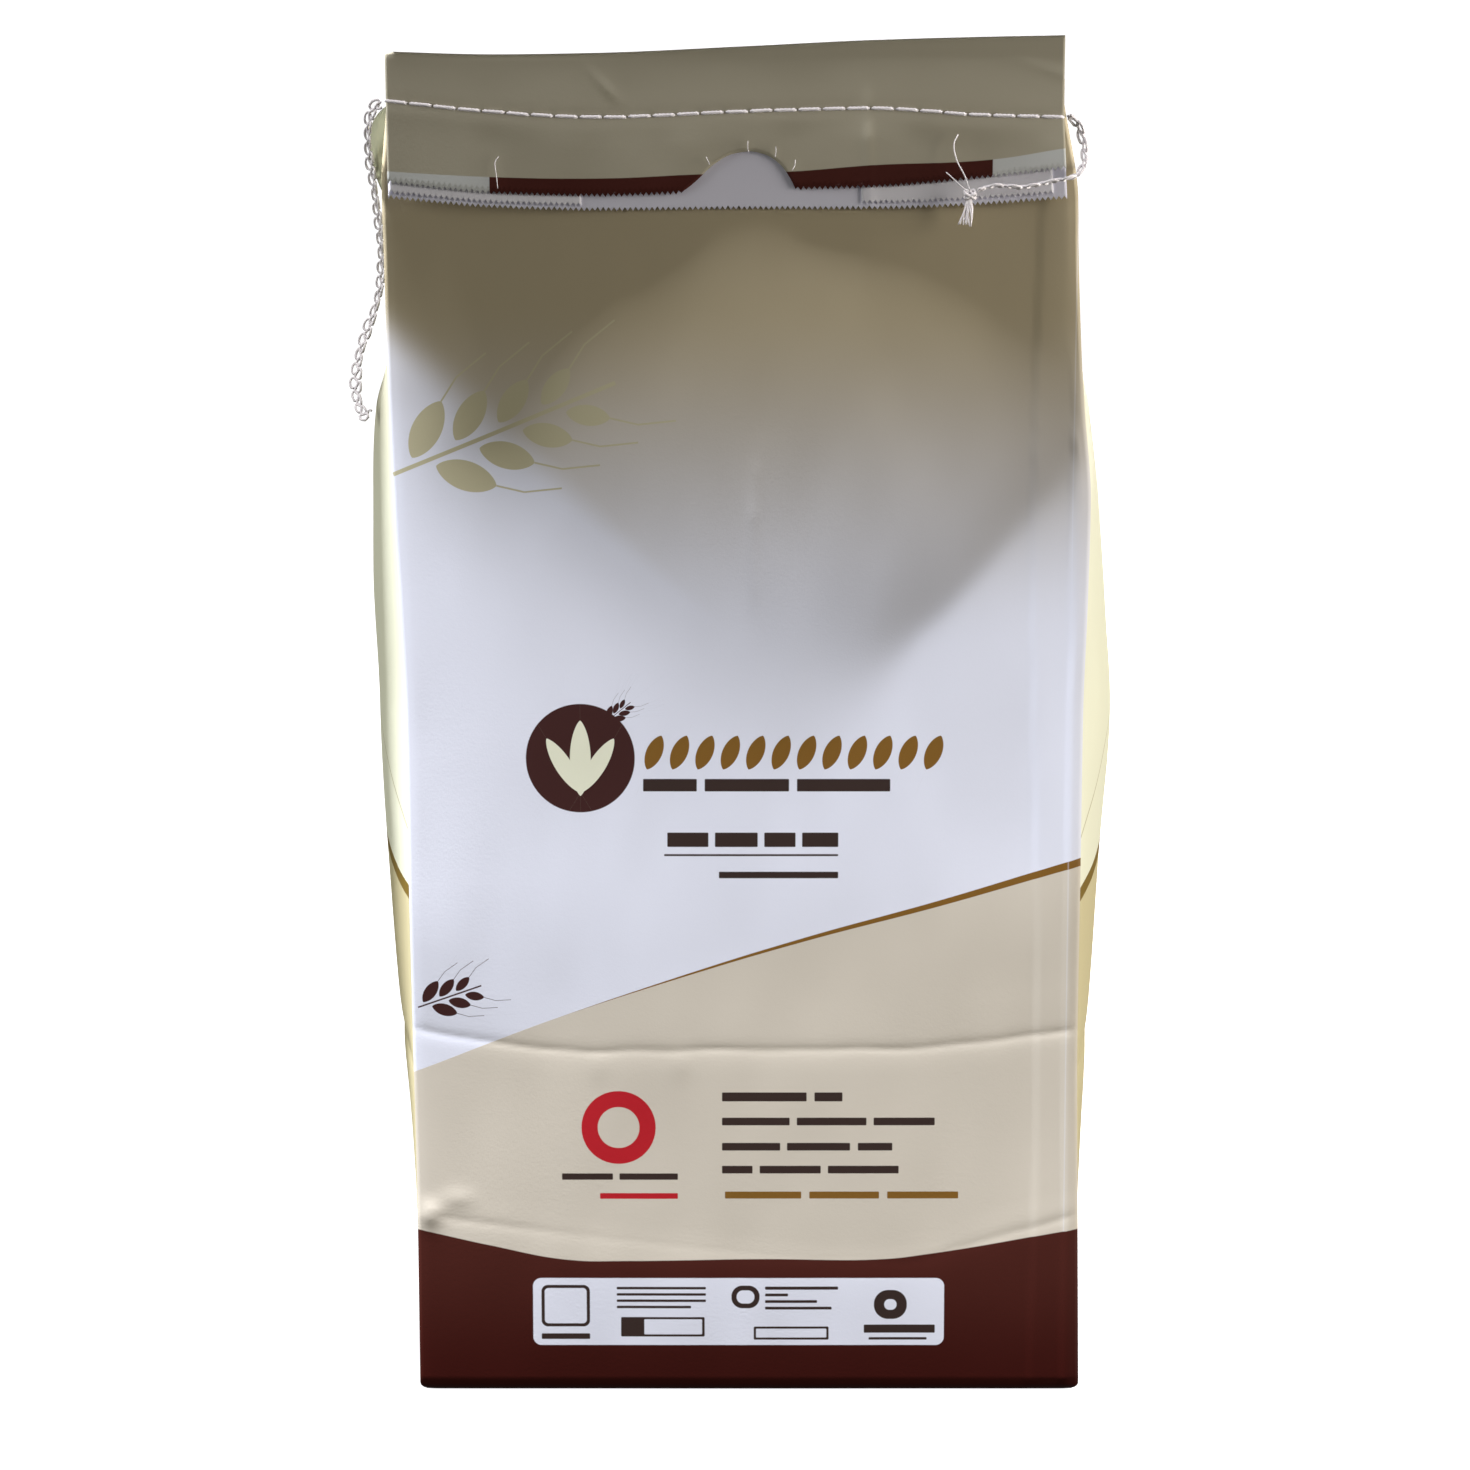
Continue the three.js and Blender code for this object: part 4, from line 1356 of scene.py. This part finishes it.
@dataclass(frozen=True)
class Ear:
    """A printed ear of wheat: a stem, pairs of grains beside it, and a fine awn from each grain.

    The widths are shares of a grain's length, and the grains' places shares of the stem's.
    """

    root: tuple[float, float]
    tip: tuple[float, float]
    pairs: int
    grain_long: float
    lean: float

    STEM_HALF, GRAIN_HALF, AWN_HALF = 0.035, 0.235, 0.016
    GRAINS_FROM, GRAINS_SPAN, STAGGER, ASIDE = 0.1, 0.78, 0.32, 0.13
    SHRINK, CLOSING = 0.4, 0.35
    AWN_PARTS = ((0.82, 0.57, 0.45), (0.96, 0.28, 0.6))

    def shapes(self) -> tuple[Leaf, ...]:
        """List its grains and strokes.

        Returns:
            The leaves, the stem first.
        """
        base, end = np.array(self.root), np.array(self.tip)
        length = float(np.linalg.norm(end - base))
        axis = (end - base) / length
        side = np.array((-axis[1], axis[0]))
        awn_half = self.grain_long * self.AWN_HALF
        leaves = [Leaf(self.root, self.tip, self.grain_long * self.STEM_HALF, blunt=True)]
        for i in range(self.pairs):
            at = (self.GRAINS_FROM + self.GRAINS_SPAN * i / self.pairs) * length
            long = self.grain_long * (1 - self.SHRINK * i / self.pairs)
            turn = self.lean * (1 - self.CLOSING * i / self.pairs)
            for sign in (1, -1):
                along = at + (self.STAGGER * length / self.pairs if sign < 0 else 0)
                start = base + axis * along + sign * side * self.grain_long * self.ASIDE
                stop = start + (axis * math.cos(turn) + sign * side * math.sin(turn)) * long
                leaves.append(Leaf(tuple(start), tuple(stop), long * self.GRAIN_HALF))
                for ahead, out, share in self.AWN_PARTS:
                    start, stop = stop, stop + (axis * ahead + sign * side * out) * self.grain_long * share
                    leaves.append(Leaf(tuple(start), tuple(stop), awn_half, blunt=True))
        return tuple(leaves)


class Ink:
    """The colours of the print, the paper and the thread, with some painted light and shade."""

    WHITE = linear(233, 235, 247)
    BEIGE = linear(214, 205, 190)
    TAUPE = linear(184, 171, 142)
    FLAP = linear(184, 177, 157)
    KHAKI = linear(196, 189, 157)
    CREAM = linear(238, 238, 214)
    TAN = linear(208, 197, 156)
    BROWN = linear(75, 32, 25)
    # Painted shade: a darker brown that the band fades into towards the base.
    SHADED_BROWN = linear(58, 12, 6)
    LOGO = linear(66, 36, 34)
    DARK = linear(58, 44, 40)
    GOLD = linear(132, 94, 38)
    OLIVE = linear(128, 104, 42)
    RED = linear(190, 34, 44)
    EDGE = linear(214, 214, 184)
    INNER = linear(236, 235, 250)
    # Painted shade: the flap strip's white paper, greyer than the white ink.
    SHADED_STRIP = linear(212, 214, 212)


BIG_EAR = Ear((-107, 283), (-40, 310), 4, 19.0, 0.7).shapes()
SMALL_EAR = Ear((-101.5, 120.8), (-82, 127.6), 3, 8.0, 0.62).shapes()
SPRIG = Ear((-43.5, 208.5), (-36, 214.5), 3, 4.2, 0.55).shapes()
GRAIN_PITCH = 7.7
WORD_ROW = tuple(
    Leaf((-31.1 + GRAIN_PITCH * k, 194.1), (-26.7 + GRAIN_PITCH * k, 204.4), 2.5) for k in range(12)
)
EMBLEM = Box(-67.8, -34.8, 181.0, 214.0, 16.4)
EMBLEM_GRAINS = (
    Leaf((-51.3, 186), (-51.3, 209), 3.2), Leaf((-51.3, 187), (-61.5, 203.5), 2.6),
    Leaf((-51.3, 187), (-41.1, 203.5), 2.6),
)
SEAL = Box(-51.6, -28.8, 72.0, 94.8, 11.3)
SEAL_CORE = Box(-46.6, -33.8, 77.0, 89.8, 6.3)
LABEL = Box(-66.9, 60.3, 14.7, 36.0, 2.6)


def bars(low: float, high: float, *ends: float) -> tuple[Box, ...]:
    """Draw bars of one height between pairs of places."""
    return tuple(Box(left, right, low, high) for left, right in zip(ends[::2], ends[1::2], strict=True))


LABEL_MARKS = (
    Box(-64.3, -49.3, 20.6, 33.8, 2), Box(-64.3, -49.3, 16.6, 18.4),
    *bars(32.4, 33.2, -41, -13.4), *bars(30.4, 31.2, -41, -13.4), *bars(28.4, 29.2, -41, -13.4),
    *bars(26.4, 27.2, -41, -18), Box(-39.7, -13.8, 17.4, 23.6, 0.4),
    Box(-5.5, 3.2, 26.4, 33.6, 3.4), *bars(32.3, 33.3, 4.9, 27.5), *bars(30.2, 31.1, 4.9, 12),
    *bars(28.1, 29, 4.9, 21), *bars(26, 26.9, 4.9, 25.5), Box(1.4, 24.6, 16.4, 20.6, 0.4),
    Box(38.6, 48.8, 23.0, 32.2, 4.4), Box(35.5, 57.5, 18.6, 21.2), Box(37, 55, 16.4, 17.2),
)
LABEL_CLEAR = (
    Box(-63.3, -50.3, 21.6, 32.8, 1.2), Box(-32.5, -14.6, 18.1, 22.9, 0.3), Box(-3.9, 1.6, 27.9, 32.1, 2.0),
    Box(2.1, 23.9, 17.1, 19.9, 0.3), Box(41.8, 45.6, 25.9, 29.3, 1.6),
)


@dataclass(frozen=True)
class Zone:
    """A part of the front panel's print: its shapes of each colour, the lower ones first.

    Its reach, where given, is the part of the paper that it covers: left, right, low and high.
    """

    name: str
    layers: tuple[tuple[Colour, tuple[Box | Leaf, ...]], ...]
    reach: tuple[float, float, float, float] | None = None

    MARGIN = 0.5

    def bounds(self) -> tuple[float, float, float, float]:
        """Find the left, right, low and high ends of its shapes, with a margin.

        Returns:
            The four ends.
        """
        if self.reach:
            return self.reach
        corners = [corner for _, shapes in self.layers for shape in shapes for corner in shape.corners()]
        u, v = np.array(corners, float).T
        return u.min() - self.MARGIN, u.max() + self.MARGIN, v.min() - self.MARGIN, v.max() + self.MARGIN


ZONES = (
    Zone("ear", ((Ink.KHAKI, BIG_EAR),)),
    Zone("small_ear", ((Ink.LOGO, SMALL_EAR),)),
    Zone(
        "emblem", ((Ink.LOGO, (EMBLEM, *SPRIG)), (Ink.CREAM, EMBLEM_GRAINS)),
        reach=(-68.3, -34.9, 180.5, 214.5),
    ),
    Zone("sprig", ((Ink.LOGO, (EMBLEM, *SPRIG)),), reach=(-46, -26, 208, 222)),
    Zone("word_row", (
        (Ink.GOLD, WORD_ROW), (Ink.DARK, bars(187.4, 191.2, -32.3, -16, -13.6, 12, 14.4, 42.7)),
    )),
    Zone("second_row", ((Ink.DARK, (
        *bars(167.6, 168.2, -26, 27), *bars(160.8, 162.8, -9.3, 27),
        *bars(170.4, 174.8, -25, -12.5, -10.5, 2.5, 4.5, 14, 16, 27),
    )),)),
    Zone("seal", (
        (Ink.RED, (SEAL, *bars(61, 62.8, -46, -22))), (Ink.BEIGE, (SEAL_CORE,)),
        (Ink.DARK, bars(67, 69, -57.7, -42, -40, -22)),
    )),
    Zone("lines", (
        (Ink.DARK, (
            *bars(91.6, 94.4, -8.4, 17.6, 20, 28.6), *bars(84.1, 86.5, -8.4, 12.4, 14.6, 36, 38.2, 57),
            *bars(76.2, 78.6, -8.4, 9.5, 11.6, 31, 33.4, 44), *bars(69, 71.4, -8.4, 1, 3.2, 22, 24.2, 46),
        )),
        (Ink.GOLD, bars(61.1, 63.3, -7.5, 16, 18.5, 40, 42.5, 64.4)),
    )),
    Zone("label", ((Ink.WHITE, (LABEL,)), (Ink.DARK, LABEL_MARKS), (Ink.WHITE, LABEL_CLEAR))),
)
STRIPE = Track(
    (-110, 98.2), (-99.5, 102), (-79.5, 109.8), (-63.2, 116), (-15.1, 132.2), (17.6, 142.1),
    (58.4, 153.2), (96.4, 164.5), (110, 168.5),
)
BAND = Track(
    (-110, 53), (-98.6, 50.5), (-80.4, 46.4), (-54.2, 41.6), (-39.3, 41.4), (3.3, 42), (42, 42),
    (53.4, 43.3), (99.6, 51.2), (110, 53),
)
STRIP_LINE = Track(
    (-110, 371.4), (-76.4, 369.5), (-41.6, 369.1), (-15.8, 370.2), (12.9, 371.1), (35.4, 372.8),
    (71.1, 374.5), (92.7, 377.7), (100, 378.6),
)


class Press:
    """Makes the materials of paper and thread."""

    SIDE_SHARE = 0.4
    FADE = (230.0, 336.0)
    # Painted light: how far the fade drops at the upper left, and the diagonal of that paler wedge.
    FADE_DROP, FADE_TURN = 52.0, (232.0, 208.0)
    GOLD_FROM, GOLD_GROWTH = -63.0, 0.0078
    GLUED_HALF, GLUED_LIGHT = 0.14, 0.25
    # Painted shade: the heights over which the brown band darkens towards the base.
    BROWN_SHADE_SPAN = (2.0, 46.0)
    RIM_HEIGHT, RIM_SLOPE, RIM_HALF = 156.5, 0.27, 2.3
    FINE_HEIGHT, FINE_SLOPE, FINE_HALF = 176.0, 0.85, 0.6
    NECK_FADE, NECK_SHARE = (262.0, 338.0), 0.5
    BAND_TOP = 53.0
    STRIP_ENDS = (-76.45, 71.15)

    def __init__(self) -> None:
        """Make the shared masks."""
        self.box = box_group()
        self.leaf = leaf_group()

    def start(self, name: str, roughness: float) -> tuple[bpy.types.Material, Graph, bpy.types.Node]:
        """Start a material with its shader.

        Args:
            name: The material's name.
            roughness: How rough it is.

        Returns:
            The material, its graph and its shader.
        """
        material = bpy.data.materials.new(name)
        material.use_nodes = True
        shader = material.node_tree.nodes["Principled BSDF"]
        shader.inputs["Roughness"].default_value = roughness
        shader.inputs["Specular IOR Level"].default_value = SPECULAR
        return material, Graph(material.node_tree), shader

    def place(self, graph: Graph) -> tuple[Socket, Socket]:
        """Read the place on the paper in millimetres.

        Args:
            graph: The material's graph.

        Returns:
            The place across and the height.
        """
        uv = graph.node("ShaderNodeUVMap", uv_map="paper").outputs[0]
        scale = graph.node("ShaderNodeVectorMath", operation="SCALE")
        graph.feed(scale.inputs[0], uv)
        graph.feed(scale.inputs["Scale"], 1 / MM)
        split = graph.node("ShaderNodeSeparateXYZ")
        graph.feed(split.inputs[0], scale.outputs[0])
        return split.outputs[0], split.outputs[1]

    def mask(self, graph: Graph, u: Socket, v: Socket, shape: Box | Leaf) -> Socket:
        """Mask one printed shape.

        Args:
            graph: The material's graph.
            u: The place across the paper.
            v: The height on it.
            shape: The shape.

        Returns:
            The mask.
        """
        made = graph.node("ShaderNodeGroup", node_tree=self.box if isinstance(shape, Box) else self.leaf)
        for label, value in {"u": u, "v": v, **shape.values()}.items():
            graph.feed(made.inputs[label], value)
        return made.outputs[0]

    def masks(self, graph: Graph, u: Socket, v: Socket, shapes: Sequence[Box | Leaf]) -> Socket:
        """Mask several printed shapes of one colour.

        Args:
            graph: The material's graph.
            u: The place across the paper.
            v: The height on it.
            shapes: The shapes.

        Returns:
            The mask of all.
        """
        total = None
        for shape in shapes:
            made = self.mask(graph, u, v, shape)
            total = made if total is None else graph.math("MAXIMUM", total, made)
        return total

    def relief(self, graph: Graph, shader: bpy.types.Node, size: float, strength: float) -> None:
        """Give the paper its fine tooth.

        Args:
            graph: The material's graph.
            shader: Its shader.
            size: Size of a grain, in millimetres.
            strength: How strong the bump is.
        """
        place = graph.node("ShaderNodeTexCoord").outputs["Object"]
        grain_node = graph.node("ShaderNodeTexNoise")
        graph.feed(grain_node.inputs["Vector"], place)
        graph.feed(grain_node.inputs["Scale"], 1 / (size * MM))
        graph.feed(grain_node.inputs["Detail"], 3.0)
        bump = graph.node("ShaderNodeBump")
        graph.feed(bump.inputs["Strength"], strength)
        graph.feed(bump.inputs["Distance"], TOOTH_HEIGHT)
        graph.feed(bump.inputs["Height"], grain_node.outputs[0])
        graph.feed(shader.inputs["Normal"], bump.outputs[0])

    def front(self, zone: Zone | None) -> bpy.types.Material:
        """Make the front panel's printed paper, with some painted light and shade in it.

        Args:
            zone: The part of the print that it shows over the fields of colour, or none.

        Returns:
            The material.
        """
        material, graph, shader = self.start(f"front_{zone.name if zone else 'field'}", WALL_ROUGHNESS)
        u, v = self.place(graph)
        # The white-to-taupe fade is print. Past a diagonal at the upper left it is lowered, which paints a
        # paler wedge where light falls on that corner.
        lit_wedge = graph.step(graph.plus(u, v), *self.FADE_TURN)
        height = graph.minus(v, graph.times(lit_wedge, self.FADE_DROP))
        colour = graph.mix(graph.step(height, *self.FADE), Ink.WHITE, Ink.TAUPE)
        line = graph.curve(u, STRIPE, (-110, 110), 180)
        colour = graph.mix(graph.step(graph.minus(line, v), -0.15, 0.15), colour, Ink.BEIGE)
        thick = graph.times(graph.minus(u, self.GOLD_FROM), self.GOLD_GROWTH)
        off = graph.math("ABSOLUTE", graph.minus(v, line))
        colour = graph.mix(graph.step(graph.minus(thick, off), -0.05, 0.15), colour, Ink.GOLD)
        band = graph.curve(u, BAND, (-110, 110), 60)
        glued = graph.math("ABSOLUTE", graph.minus(u, GLUED_EDGE))
        light_line = graph.times(graph.step(glued, 2 * self.GLUED_HALF, self.GLUED_HALF), self.GLUED_LIGHT)
        colour = graph.mix(light_line, colour, Ink.WHITE)
        # Painted shade: the brown band darkens towards the base.
        brown_and_shade = graph.mix(graph.step(v, *self.BROWN_SHADE_SPAN), Ink.SHADED_BROWN, Ink.BROWN)
        colour = graph.mix(graph.step(graph.minus(band, v), -0.2, 0.2), colour, brown_and_shade)
        for ink, shapes in zone.layers if zone else ():
            colour = graph.mix(self.masks(graph, u, v, shapes), colour, ink)
        graph.feed(shader.inputs["Base Color"], colour)
        self.relief(graph, shader, 0.7, 0.35)
        return material

    def sides(self) -> bpy.types.Material:
        """Make the printed paper of the gussets and the back panel.

        Returns:
            The material.
        """
        material, graph, shader = self.start("printed_sides", WALL_ROUGHNESS)
        u, v = self.place(graph)
        from_middle = graph.math("ABSOLUTE", u)
        run = graph.minus(from_middle, 104.0)
        rim = graph.minus(v, graph.plus(graph.times(run, self.RIM_SLOPE), self.RIM_HEIGHT))
        # Painted light: the cream ground is the gussets' white paper with the warm light on them painted in.
        # The rim and its lines are print.
        colour = graph.mix(graph.step(rim, 0.2, -0.2), Ink.CREAM, Ink.TAN)
        on_rim = graph.step(graph.math("ABSOLUTE", rim), self.RIM_HALF, self.RIM_HALF - 0.3)
        colour = graph.mix(on_rim, colour, Ink.OLIVE)
        fine = graph.plus(graph.times(run, self.FINE_SLOPE), self.FINE_HEIGHT)
        off_fine = graph.math("ABSOLUTE", graph.minus(v, fine))
        on_gusset = graph.step(from_middle, BACK_START - 1, BACK_START - 3)
        near_fine = graph.step(off_fine, self.FINE_HALF, self.FINE_HALF / 2)
        colour = graph.mix(graph.times(near_fine, on_gusset), colour, Ink.KHAKI)
        colour = graph.mix(graph.times(graph.step(v, *self.NECK_FADE), self.NECK_SHARE), colour, Ink.TAUPE)
        colour = graph.mix(graph.step(v, self.BAND_TOP + 0.2, self.BAND_TOP - 0.2), colour, Ink.BROWN)
        graph.feed(shader.inputs["Base Color"], colour)
        self.relief(graph, shader, 0.7, 0.35)
        return material

    def paint_wall(self, skin: bpy.types.Object) -> None:
        """Give the bag's wall its paper: one material to each zone of the front panel's print.

        Args:
            skin: The wall.
        """
        data = skin.data
        data.materials.append(self.front(None))
        data.materials.append(self.sides())
        corners = np.zeros(2 * len(data.loops), np.float32)
        data.uv_layers["paper"].uv.foreach_get("vector", corners)
        places = corners.reshape(-1, 2) / MM
        side = np.array([value.value for value in data.attributes["side"].data])
        zones = [(self.front(zone), zone.bounds()) for zone in ZONES]
        for material, _ in zones:
            data.materials.append(material)
        for face in data.polygons:
            if side[list(face.vertices)].mean() > self.SIDE_SHARE:
                face.material_index = 1
                continue
            near = places[face.loop_start : face.loop_start + face.loop_total]
            (low_u, low_v), (high_u, high_v) = near.min(axis=0), near.max(axis=0)
            for i, (_, (left, right, low, high)) in enumerate(zones):
                if high_u > left and low_u < right and high_v > low and low_v < high:
                    face.material_index = 2 + i
                    break

    def flap(self) -> bpy.types.Material:
        """Make the printed paper of the flap's outer layer.

        Returns:
            The material.
        """
        material, graph, shader = self.start("printed_flap", WALL_ROUGHNESS)
        u, v = self.place(graph)
        line = graph.curve(u, STRIP_LINE, (-110, 100), 400)
        below = graph.step(graph.minus(line, v), -0.15, 0.15)
        left, right = self.STRIP_ENDS
        past_left = graph.step(u, left - 0.15, left + 0.15)
        before_right = graph.step(u, right + 0.15, right - 0.15)
        middle = graph.times(past_left, before_right)
        # Painted shade: the strip's white paper takes a greyer white than the print's white ink.
        strip = graph.mix(middle, Ink.SHADED_STRIP, Ink.BROWN)
        graph.feed(shader.inputs["Base Color"], graph.mix(below, Ink.FLAP, strip))
        self.relief(graph, shader, 0.7, 0.35)
        return material

    def plain(
        self, name: str, colour: Colour, roughness: float, size: float = 0.7, strength: float = 0.3
    ) -> bpy.types.Material:
        """Make a material of one colour with a fine tooth.

        Args:
            name: The material's name.
            colour: Its colour.
            roughness: How rough it is.
            size: Size of a grain, in millimetres.
            strength: How strong the bump is.

        Returns:
            The material.
        """
        material, graph, shader = self.start(name, roughness)
        graph.feed(shader.inputs["Base Color"], colour)
        self.relief(graph, shader, size, strength)
        return material


def glowing_material(name: str, colour: Colour, strength: float) -> bpy.types.Material:
    """Make the backdrop's even white.

    Args:
        name: The material's name.
        colour: Its colour.
        strength: How much it glows.

    Returns:
        The material.
    """
    material = bpy.data.materials.new(name)
    material.use_nodes = True
    shader = material.node_tree.nodes["Principled BSDF"]
    shader.inputs["Base Color"].default_value = colour
    shader.inputs["Emission Color"].default_value = colour
    shader.inputs["Emission Strength"].default_value = strength
    return material


@dataclass(frozen=True)
class Lamp:
    """A soft light: its place and size in metres, its power in watts and its tint."""

    name: str
    place: tuple[float, float, float]
    size: tuple[float, float]
    power: float
    tint: tuple[float, float, float]
    aimed: bool = True


@dataclass(frozen=True)
class Card:
    """A level card over the bag, in millimetres, that keeps the key off what faces up."""

    name: str
    left: float
    right: float
    front: float
    back: float
    height: float


class Studio:
    """Camera, lights, cards and floor."""

    CAMERA = (-4.4, -757.3, 265.4)
    TARGET = (-4.4, -60, 204.4)
    LENS = 56.43
    LIT_POINT = Vector((0, 0, 0.2))
    LAMPS = (
        Lamp("key", (-0.45, -0.245, 3.8), (1.5, 0.37), 1850, (0.92, 0.94, 1), aimed=False),
        Lamp("left", (-1.5, -0.24, 0.5), (0.9, 0.9), 11, (0.97, 0.99, 0.93)),
        Lamp("right", (0.95, -0.25, 0.3), (0.6, 0.6), 8.8, (1, 0.95, 0.86)),
        Lamp("back", (0.5, 1.7, 0.9), (1.0, 1.0), 26, (1, 0.98, 0.95)),
        Lamp("thread_key", (-0.6, -1.2, 2.2), (0.8, 0.8), 44, (1, 0.98, 0.98)),
    )
    CARDS = (
        Card("wide_flag", -400, 400, -63.5, 400, 430),
        Card("crown_flag", -106, 91.6, -73.4, -66, 412.5),
        Card("neck_flag", -122, 108, -66, -40, 412.5),
    )
    FLOOR_HALF, FLOOR_START, FLOOR_GAP = 3.2, -1.8, 0.0005
    SWEEP_LONG, BEND_FROM, BEND_LONG, BEND_RADIUS = 6.0, 3.2, 1.2, 0.76
    FLOOR_GLOW, WORLD_LIGHT, WORLD_SEEN, WORLD_TINT = 1.1, 0.1, 1.0, (1, 0.97, 0.92, 1)

    def __init__(self, builder: Builder) -> None:
        """Take the builder of the shared frame."""
        self.builder = builder
        self.lights: dict[str, bpy.types.Object] = {}
        self.cards: list[bpy.types.Object] = []

    def camera(self) -> None:
        """Set the camera up at the photograph's place."""
        data = bpy.data.cameras.new("camera")
        data.lens, data.sensor_width = self.LENS, 36
        data.dof.use_dof = False
        camera = bpy.data.objects.new("camera", data)
        camera.location = self.builder.place(self.CAMERA)
        aim = self.builder.place(self.TARGET) - camera.location
        camera.rotation_euler = aim.to_track_quat("-Z", "Y").to_euler()
        bpy.context.scene.collection.objects.link(camera)
        bpy.context.scene.camera = camera

    def light(self, lamp: Lamp) -> None:
        """Add one soft light, straight down or aimed at the bag.

        Args:
            lamp: What it is like.
        """
        data = bpy.data.lights.new(lamp.name, "AREA")
        data.shape = "RECTANGLE"
        data.size, data.size_y = lamp.size
        data.energy, data.color = lamp.power, lamp.tint
        made = bpy.data.objects.new(lamp.name, data)
        made.location = lamp.place
        if lamp.aimed:
            made.rotation_euler = (self.LIT_POINT - Vector(lamp.place)).to_track_quat("-Z", "Y").to_euler()
        bpy.context.scene.collection.objects.link(made)
        self.lights[lamp.name] = made

    def stage(self, name: str, mesh: bmesh.types.BMesh) -> bpy.types.Object:
        """Make a stage object of a mesh in metres that sends no light to the bag.

        Args:
            name: Its name.
            mesh: Its mesh, which is freed.

        Returns:
            The object.
        """
        data = bpy.data.meshes.new(name)
        mesh.to_mesh(data)
        mesh.free()
        made = bpy.data.objects.new(name, data)
        made.visible_diffuse = made.visible_glossy = False
        bpy.context.scene.collection.objects.link(made)
        return made

    def card(self, card: Card) -> None:
        """Hang a card over the bag, unseen by the camera.

        Args:
            card: What it is like.
        """
        mesh = bmesh.new()
        bmesh.ops.create_grid(mesh, x_segments=1, y_segments=1, size=0.5)
        for vertex in mesh.verts:
            x = (card.left + card.right) / 2 + (card.right - card.left) * vertex.co.x
            y = (card.front + card.back) / 2 + (card.back - card.front) * vertex.co.y
            vertex.co = self.builder.place((x, y, card.height))
        made = self.stage(card.name, mesh)
        made.visible_camera = False
        self.cards.append(made)

    def backdrop(self) -> None:
        """Lay the pale floor, which bends up into a wall far behind the bag."""
        mesh = bmesh.new()
        bmesh.ops.create_grid(mesh, x_segments=1, y_segments=24, size=1)
        for vertex in mesh.verts:
            run = self.SWEEP_LONG * (vertex.co.y + 1) / 2
            bend = min(1.0, max(0.0, (run - self.BEND_FROM) / self.BEND_LONG)) * math.pi / 2
            rise = self.BEND_RADIUS * (1 - math.cos(bend)) + max(0.0, run - self.BEND_FROM - self.BEND_LONG)
            depth = min(run, self.BEND_FROM) + self.BEND_RADIUS * math.sin(bend)
            vertex.co = (self.FLOOR_HALF * vertex.co.x, depth + self.FLOOR_START, rise - self.FLOOR_GAP)
        made = self.stage("backdrop", mesh)
        made.data.shade_smooth()
        made.data.materials.append(glowing_material("backdrop_white", linear(240, 240, 242), self.FLOOR_GLOW))

    def world(self) -> None:
        """Set up the faint light all round, which the camera sees as white."""
        world = bpy.data.worlds.new("studio")
        world.use_nodes = True
        background = world.node_tree.nodes["Background"]
        background.inputs["Color"].default_value = self.WORLD_TINT
        graph = Graph(world.node_tree)
        seen = graph.node("ShaderNodeLightPath").outputs["Is Camera Ray"]
        glow = graph.plus(graph.times(seen, self.WORLD_SEEN), self.WORLD_LIGHT)
        graph.feed(background.inputs["Strength"], glow)
        bpy.context.scene.world = world
        bpy.context.scene.view_settings.view_transform = "Standard"

    def share(self, paper: Sequence[bpy.types.Object], thread: Sequence[bpy.types.Object]) -> None:
        """Choose what each light falls on and what casts its shadows.

        The steep key lights the paper alone and a softer light the thread. Only the key is held
        back by the cards, and the thread casts no shadow of it.

        Args:
            paper: The pieces of paper.
            thread: The pieces of thread.
        """
        receivers = {"key": paper, "thread_key": thread}
        blockers = {"key": [*paper, *self.cards]}
        for name, light in self.lights.items():
            roles = {
                "receiver_collection": receivers.get(name),
                "blocker_collection": blockers.get(name, [*paper, *thread]),
            }
            for role, chosen in roles.items():
                if chosen is None:
                    continue
                group = bpy.data.collections.new(f"{name}_{role}")
                for piece in chosen:
                    group.objects.link(piece)
                setattr(light.light_linking, role, group)

    def build(self) -> None:
        """Build the studio."""
        self.camera()
        self.backdrop()
        for card in self.CARDS:
            self.card(card)
        for lamp in self.LAMPS:
            self.light(lamp)
        self.world()


def drawing_shift() -> Vector:
    """Find the drawings' origin in the row frame, from the seam's back chain."""
    low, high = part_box("seam_chain")
    middle = (low + high) / 2
    return Vector((middle.x - SEAM_CENTRE[0] * MM, middle.y - SEAM_CENTRE[1] * MM, 0))


def main() -> None:
    """Build the scene."""
    logging.basicConfig(level=logging.INFO)
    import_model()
    builder = Builder(drawing_shift())
    studio = Studio(builder)
    studio.build()
    thread = Thread(builder).build()
    skin = Skin(builder).build()
    layers = Flap(builder).build()
    press = Press()
    yarn = press.plain("thread_white", linear(212, 208, 212), 0.85, size=0.25)
    # Painted shade: the needle holes are dark discs that stand for the shade inside them.
    hole = press.plain("needle_hole_painted_shade", linear(70, 62, 56), 0.9)
    inner = press.plain("inner_paper", Ink.INNER, 0.75)
    # Painted light: the gusset layers take a lighter copy of the inner white paper, for the light that they
    # catch.
    lit_gusset_paper = press.plain("inner_gusset_paper_painted_light", linear(246, 244, 252), 0.75)
    for name, piece in thread.items():
        piece.data.materials.append(hole if name == "needle_holes" else yarn)
    press.paint_wall(skin)
    layers[0].data.materials.append(press.flap())
    papers = {"flap_inner": inner, "flap_left_edge": press.plain("edge_paper", Ink.EDGE, WALL_ROUGHNESS)}
    for layer in layers[1:]:
        layer.data.materials.append(papers.get(layer.name, lit_gusset_paper))
    holes = thread["needle_holes"]
    studio.share([skin, *layers, holes], [piece for piece in thread.values() if piece is not holes])
    for piece in (*thread.values(), skin, *layers):
        log.info("%s has %d faces", piece.name, len(piece.data.polygons))


if __name__ == "__main__":
    main()
